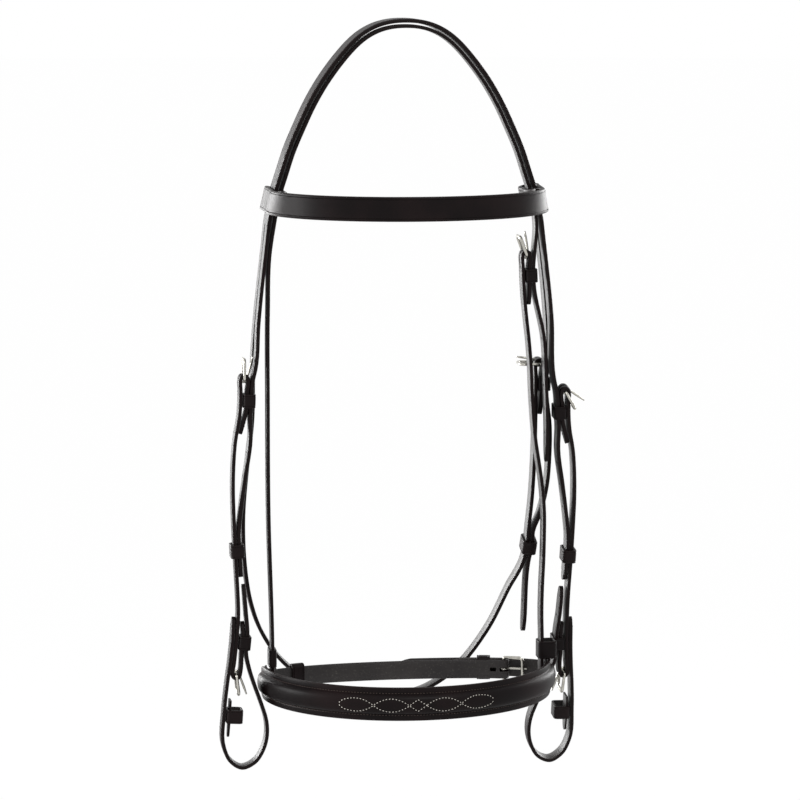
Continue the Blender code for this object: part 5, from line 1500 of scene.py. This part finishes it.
def grain_finish():
    """Dyed and waxed grain side: fine pores, broad shade changes, edges rubbed a little lighter."""
    f = new_finish("grain")
    dye = colours()
    broad = f.noise(*PATCHES)
    wrinkle = f.noise(*WRINKLES)
    worn = f.span(f.edge_share(), *WORN_SPAN)
    base = f.mix(f.span(broad, *PATCH_SPAN), dye.grain, dye.grain_light)
    f.set(base_color=f.mix(worn * WORN_SHARE, base, dye.worn))
    f.set(roughness=f.vary(broad, *GRAIN_ROUGH) + WRINKLE_ROUGH * wrinkle - WORN_GLOSS * worn)
    f.set(coat_weight=f.vary(broad, *GRAIN_COAT), coat_roughness=COAT_ROUGH)
    f.set(specular_ior_level=GRAIN_SPECULAR)
    f.relief(PORE_PART * f.pores() + WRINKLE_PART * wrinkle, *GRAIN_RELIEF)


def flesh_finish():
    """Inner side: short fibres, dyed but greyer, with a nap that catches light from the side."""
    f = new_finish("flesh")
    dye = colours()
    fibres = f.noise(*FIBRES)
    specks = f.span(f.noise(*SPECKS), *SPECK_SPAN)
    base = f.mix(f.span(f.noise(*PATCHES), *NAP_SPAN), dye.flesh, dye.flesh_light)
    f.set(base_color=f.mix(specks * SPECK_SHARE, base, dye.fibre), roughness=f.vary(fibres, *FLESH_ROUGH))
    f.set(sheen_weight=FLESH_SHEEN, sheen_roughness=SHEEN_ROUGH, specular_ior_level=FLESH_SPECULAR)
    f.relief(fibres + SPECK_PART * specks, *FLESH_RELIEF)


def lining_finish():
    """Soft lining of the noseband, finer than the bridle leather and less shiny."""
    f = new_finish("lining")
    dye = colours()
    broad = f.noise(*PATCHES)
    f.set(base_color=f.mix(broad, dye.lining, dye.flesh), roughness=f.vary(broad, *LINING_ROUGH))
    f.set(specular_ior_level=FLESH_SPECULAR)
    f.relief(f.pores(), *LINING_RELIEF)


def edge_finish():
    """Dyed and burnished cut edge, with the layers of the hide just showing."""
    f = new_finish("edge")
    layers = f.noise(*LAYERS)
    f.set(base_color=f.mix(f.span(layers, *LAYER_SPAN), colours().edge, colours().grain_light))
    f.set(roughness=f.vary(f.noise(*EDGE_PATCHES), *EDGE_ROUGH), specular_ior_level=GRAIN_SPECULAR)
    f.relief(layers, *EDGE_RELIEF)


def darker(colour, share):
    """A colour with a share of its light."""
    return tuple(channel * share for channel in colour[:3]) + (1.0,)


def nickel_finish():
    """Nickel plate: bright, faintly uneven, with fine handling marks."""
    f = new_finish("nickel_plate")
    haze = f.noise(*HAZE)
    plate = colours().nickel
    f.set(base_color=f.mix(f.span(haze, *HAZE_SPAN), plate, darker(plate, HAZE_SHADE)))
    f.set(metallic=1.0, roughness=f.vary(haze, *NICKEL_ROUGH))
    f.relief(f.noise(*MARKS), *NICKEL_RELIEF)


def thread_finish(name, colour):
    """Waxed thread, its twist showing as fine ridges, with painted shade darkening its colour in their sunk
    grooves.
    """
    f = new_finish(name)
    twist = f.noise(*TWIST)
    # Painted shade: the thread's colour is darker where the twist's relief is sunk
    f.set(base_color=f.mix(f.span(twist, *TWIST_SHADE_SPAN), darker(colour, TWIST_PAINTED_SHADE), colour))
    f.set(roughness=f.vary(twist, *THREAD_ROUGH))
    f.relief(twist, *THREAD_RELIEF)


def make_world():
    """Even pale light all round, and plain white where the camera or a reflection looks past the bridle."""
    world = bpy.data.worlds.new("studio")
    bpy.context.scene.world = world
    f = Finish(world, "Background")
    f.set(color=WHITE, strength=WORLD_LIGHT)
    f.show_white(f.node("ShaderNodeBackground", {}, {"Color": WHITE, "Strength": 1.0}), 1.0)


def make_floor():
    """A wide pale floor well below the hanging bridle, which keeps its faint shadow."""
    mesh = bmesh.new()
    bmesh.ops.create_circle(mesh, cap_ends=True, segments=FLOOR_CORNERS, radius=FLOOR_RADIUS,
                            matrix=Matrix.Translation((0.0, 0.0, FLOOR_LEVEL)))
    f = new_finish("floor")
    f.set(base_color=FLOOR_COLOUR, roughness=FLOOR_ROUGH, specular_ior_level=0.0)
    f.show_white(f.node("ShaderNodeEmission", {}, {"Color": WHITE}), FLOOR_WHITE)
    new_object("floor", mesh, ["floor"])


def aim(name, data, spot):
    """Stands a lamp or camera at a place, facing the bridle."""
    thing = bpy.data.objects.new(name, data)
    thing.location = spot
    thing.rotation_euler = (CAMERA_TARGET - spot).to_track_quat("-Z", "Y").to_euler()
    bpy.context.scene.collection.objects.link(thing)
    return thing


def make_lamp(name, spot, size, power):
    """A soft square lamp that faces the bridle."""
    lamp = bpy.data.lights.new(name, "AREA")
    lamp.shape = "SQUARE"
    lamp.size = size
    lamp.energy = power
    aim(name, lamp, Vector(spot))


def make_camera():
    """The camera at the photograph's viewing angle."""
    camera = bpy.data.cameras.new("camera")
    camera.lens = CAMERA_LENS
    camera.sensor_width = SENSOR_WIDTH
    bpy.context.scene.camera = aim("camera", camera, CAMERA_PLACE)


def length(name, description, default):
    """A size in metres for the sidebar."""
    return FloatProperty(name=name, description=description, default=default, precision=5, unit="LENGTH")


def colour(name, description, red, green, blue):
    """A colour for the sidebar."""
    return FloatVectorProperty(name=name, description=description, subtype="COLOR", size=4,
                               default=(red, green, blue, 1.0))


class BridleSizes(bpy.types.PropertyGroup):
    """Sizes of the leather work that a user may change"""

    crease_in: length("Crease inset", "From a strap's edge to its pressed line", 0.0023)
    crease_depth: length("Crease depth", "Depth of the pressed lines", 0.00028)
    stitch_pitch: length("Stitch pitch", "From one stitch to the next on the straps", 0.0026)
    stitch_length: length("Stitch length", "Length of one stitch on the straps", 0.0019)
    pattern_pitch: length("Pattern pitch", "From one pale stitch to the next on the noseband", 0.0027)
    pattern_length: length("Pattern stitch", "Length of one pale stitch", 0.0015)
    thread_width: length("Thread width", "Width of the thread where it shows", 0.0008)


class BridleColours(bpy.types.PropertyGroup):
    """Colours of the leather, thread and metal"""

    grain: colour("Grain", "Dyed outer side", 0.0036, 0.0018, 0.0020)
    grain_light: colour("Grain, light", "Outer side where the dye took less", 0.0095, 0.0046, 0.0048)
    worn: colour("Rubbed edge", "Outer side where it is rubbed", 0.024, 0.014, 0.013)
    flesh: colour("Flesh", "Inner side", 0.010, 0.008, 0.0085)
    flesh_light: colour("Flesh, light", "Inner side where the nap is open", 0.026, 0.022, 0.021)
    fibre: colour("Fibre", "Loose fibres of the inner side", 0.12, 0.115, 0.10)
    lining: colour("Lining", "Noseband lining", 0.020, 0.013, 0.012)
    edge: colour("Edge", "Burnished cut edges", 0.008, 0.005, 0.005)
    nickel: colour("Nickel", "Buckles", 0.50, 0.485, 0.44)
    pale_thread: colour("Pale thread", "Pattern on the noseband", 0.74, 0.70, 0.63)
    brown_thread: colour("Brown thread", "Rows along the noseband", 0.10, 0.070, 0.060)
    dark_thread: colour("Dark thread", "Sewing of the straps", 0.005, 0.0035, 0.0035)


def sizes():
    """The sizes set in the sidebar."""
    return bpy.context.scene.bridle_sizes


def colours():
    """The colours set in the sidebar."""
    return bpy.context.scene.bridle_colours


class BRIDLE_OT_stage(bpy.types.Operator):
    """Build the floor, light and camera"""

    bl_idname = "bridle.stage"
    bl_label = "Stage"

    def execute(self, context):
        context.scene.view_settings.view_transform = "Standard"
        make_camera()
        make_world()
        make_floor()
        for name, spot, size, power in LAMPS:
            make_lamp(name, spot, size, power)
        return {"FINISHED"}


class BRIDLE_OT_finishes(bpy.types.Operator):
    """Make the leather, thread and nickel finishes"""

    bl_idname = "bridle.finishes"
    bl_label = "Finishes"

    def execute(self, context):
        for make in (grain_finish, flesh_finish, lining_finish, edge_finish, nickel_finish):
            make()
        thread_finish("pale_thread", colours().pale_thread)
        thread_finish("brown_thread", colours().brown_thread)
        thread_finish("dark_thread", colours().dark_thread)
        return {"FINISHED"}


class BRIDLE_OT_crown(bpy.types.Operator):
    """Build the crown with its cheek and throat billets"""

    bl_idname = "bridle.crown"
    bl_label = "Crown"

    def execute(self, context):
        make_crown()
        return {"FINISHED"}


class BRIDLE_OT_headstrap(bpy.types.Operator):
    """Build the noseband headstrap and the strap that it buckles to"""

    bl_idname = "bridle.headstrap"
    bl_label = "Noseband headstrap"

    def execute(self, context):
        make_headstrap()
        return {"FINISHED"}


class BRIDLE_OT_cheekpieces(bpy.types.Operator):
    """Build both cheekpieces with their bit billets, keepers and buckles"""

    bl_idname = "bridle.cheekpieces"
    bl_label = "Cheekpieces"

    def execute(self, context):
        for side in (-1, 1):
            make_cheek(side)
        return {"FINISHED"}


class BRIDLE_OT_throat(bpy.types.Operator):
    """Build the throat strap's buckle, keeper and runner"""

    bl_idname = "bridle.throat"
    bl_label = "Throat fittings"

    def execute(self, context):
        make_throat_fittings()
        return {"FINISHED"}


class BRIDLE_OT_noseband(bpy.types.Operator):
    """Build the noseband, its lining, its sewing and its loops"""

    bl_idname = "bridle.noseband"
    bl_label = "Noseband"

    def execute(self, context):
        make_noseband()
        stitch_noseband()
        make_noseband_loops()
        return {"FINISHED"}


class BRIDLE_OT_chin(bpy.types.Operator):
    """Build the chin strap with its buckle, keeper and runner"""

    bl_idname = "bridle.chin"
    bl_label = "Chin strap"

    def execute(self, context):
        make_chin()
        return {"FINISHED"}


class BRIDLE_OT_browband(bpy.types.Operator):
    """Build the browband"""

    bl_idname = "bridle.browband"
    bl_label = "Browband"

    def execute(self, context):
        make_browband()
        return {"FINISHED"}


STEPS = (BRIDLE_OT_stage, BRIDLE_OT_finishes, BRIDLE_OT_crown, BRIDLE_OT_headstrap, BRIDLE_OT_cheekpieces,
         BRIDLE_OT_throat, BRIDLE_OT_noseband, BRIDLE_OT_chin, BRIDLE_OT_browband)


class BRIDLE_PT_panel(bpy.types.Panel):
    """Lists the bridle's operators, sizes and colours"""

    bl_idname = "BRIDLE_PT_panel"
    bl_label = "Bridle"
    bl_space_type = "VIEW_3D"
    bl_region_type = "UI"
    bl_category = "Bridle"

    def draw(self, context):
        for step in STEPS:
            self.layout.operator(step.bl_idname)
        for group in (context.scene.bridle_sizes, context.scene.bridle_colours):
            for name in type(group).__annotations__:
                self.layout.prop(group, name)


CLASSES = (BridleSizes, BridleColours) + STEPS + (BRIDLE_PT_panel,)


def register():
    for kind in CLASSES:
        bpy.utils.register_class(kind)
    bpy.types.Scene.bridle_sizes = PointerProperty(type=BridleSizes)
    bpy.types.Scene.bridle_colours = PointerProperty(type=BridleColours)


def unregister():
    del bpy.types.Scene.bridle_colours
    del bpy.types.Scene.bridle_sizes
    for kind in reversed(CLASSES):
        bpy.utils.unregister_class(kind)


def main():
    """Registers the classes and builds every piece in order."""
    register()
    bpy.ops.bridle.stage()
    bpy.ops.bridle.finishes()
    bpy.ops.bridle.crown()
    bpy.ops.bridle.headstrap()
    bpy.ops.bridle.cheekpieces()
    bpy.ops.bridle.throat()
    bpy.ops.bridle.noseband()
    bpy.ops.bridle.chin()
    bpy.ops.bridle.browband()
    bpy.context.view_layer.update()


if __name__ == "__main__":
    main()
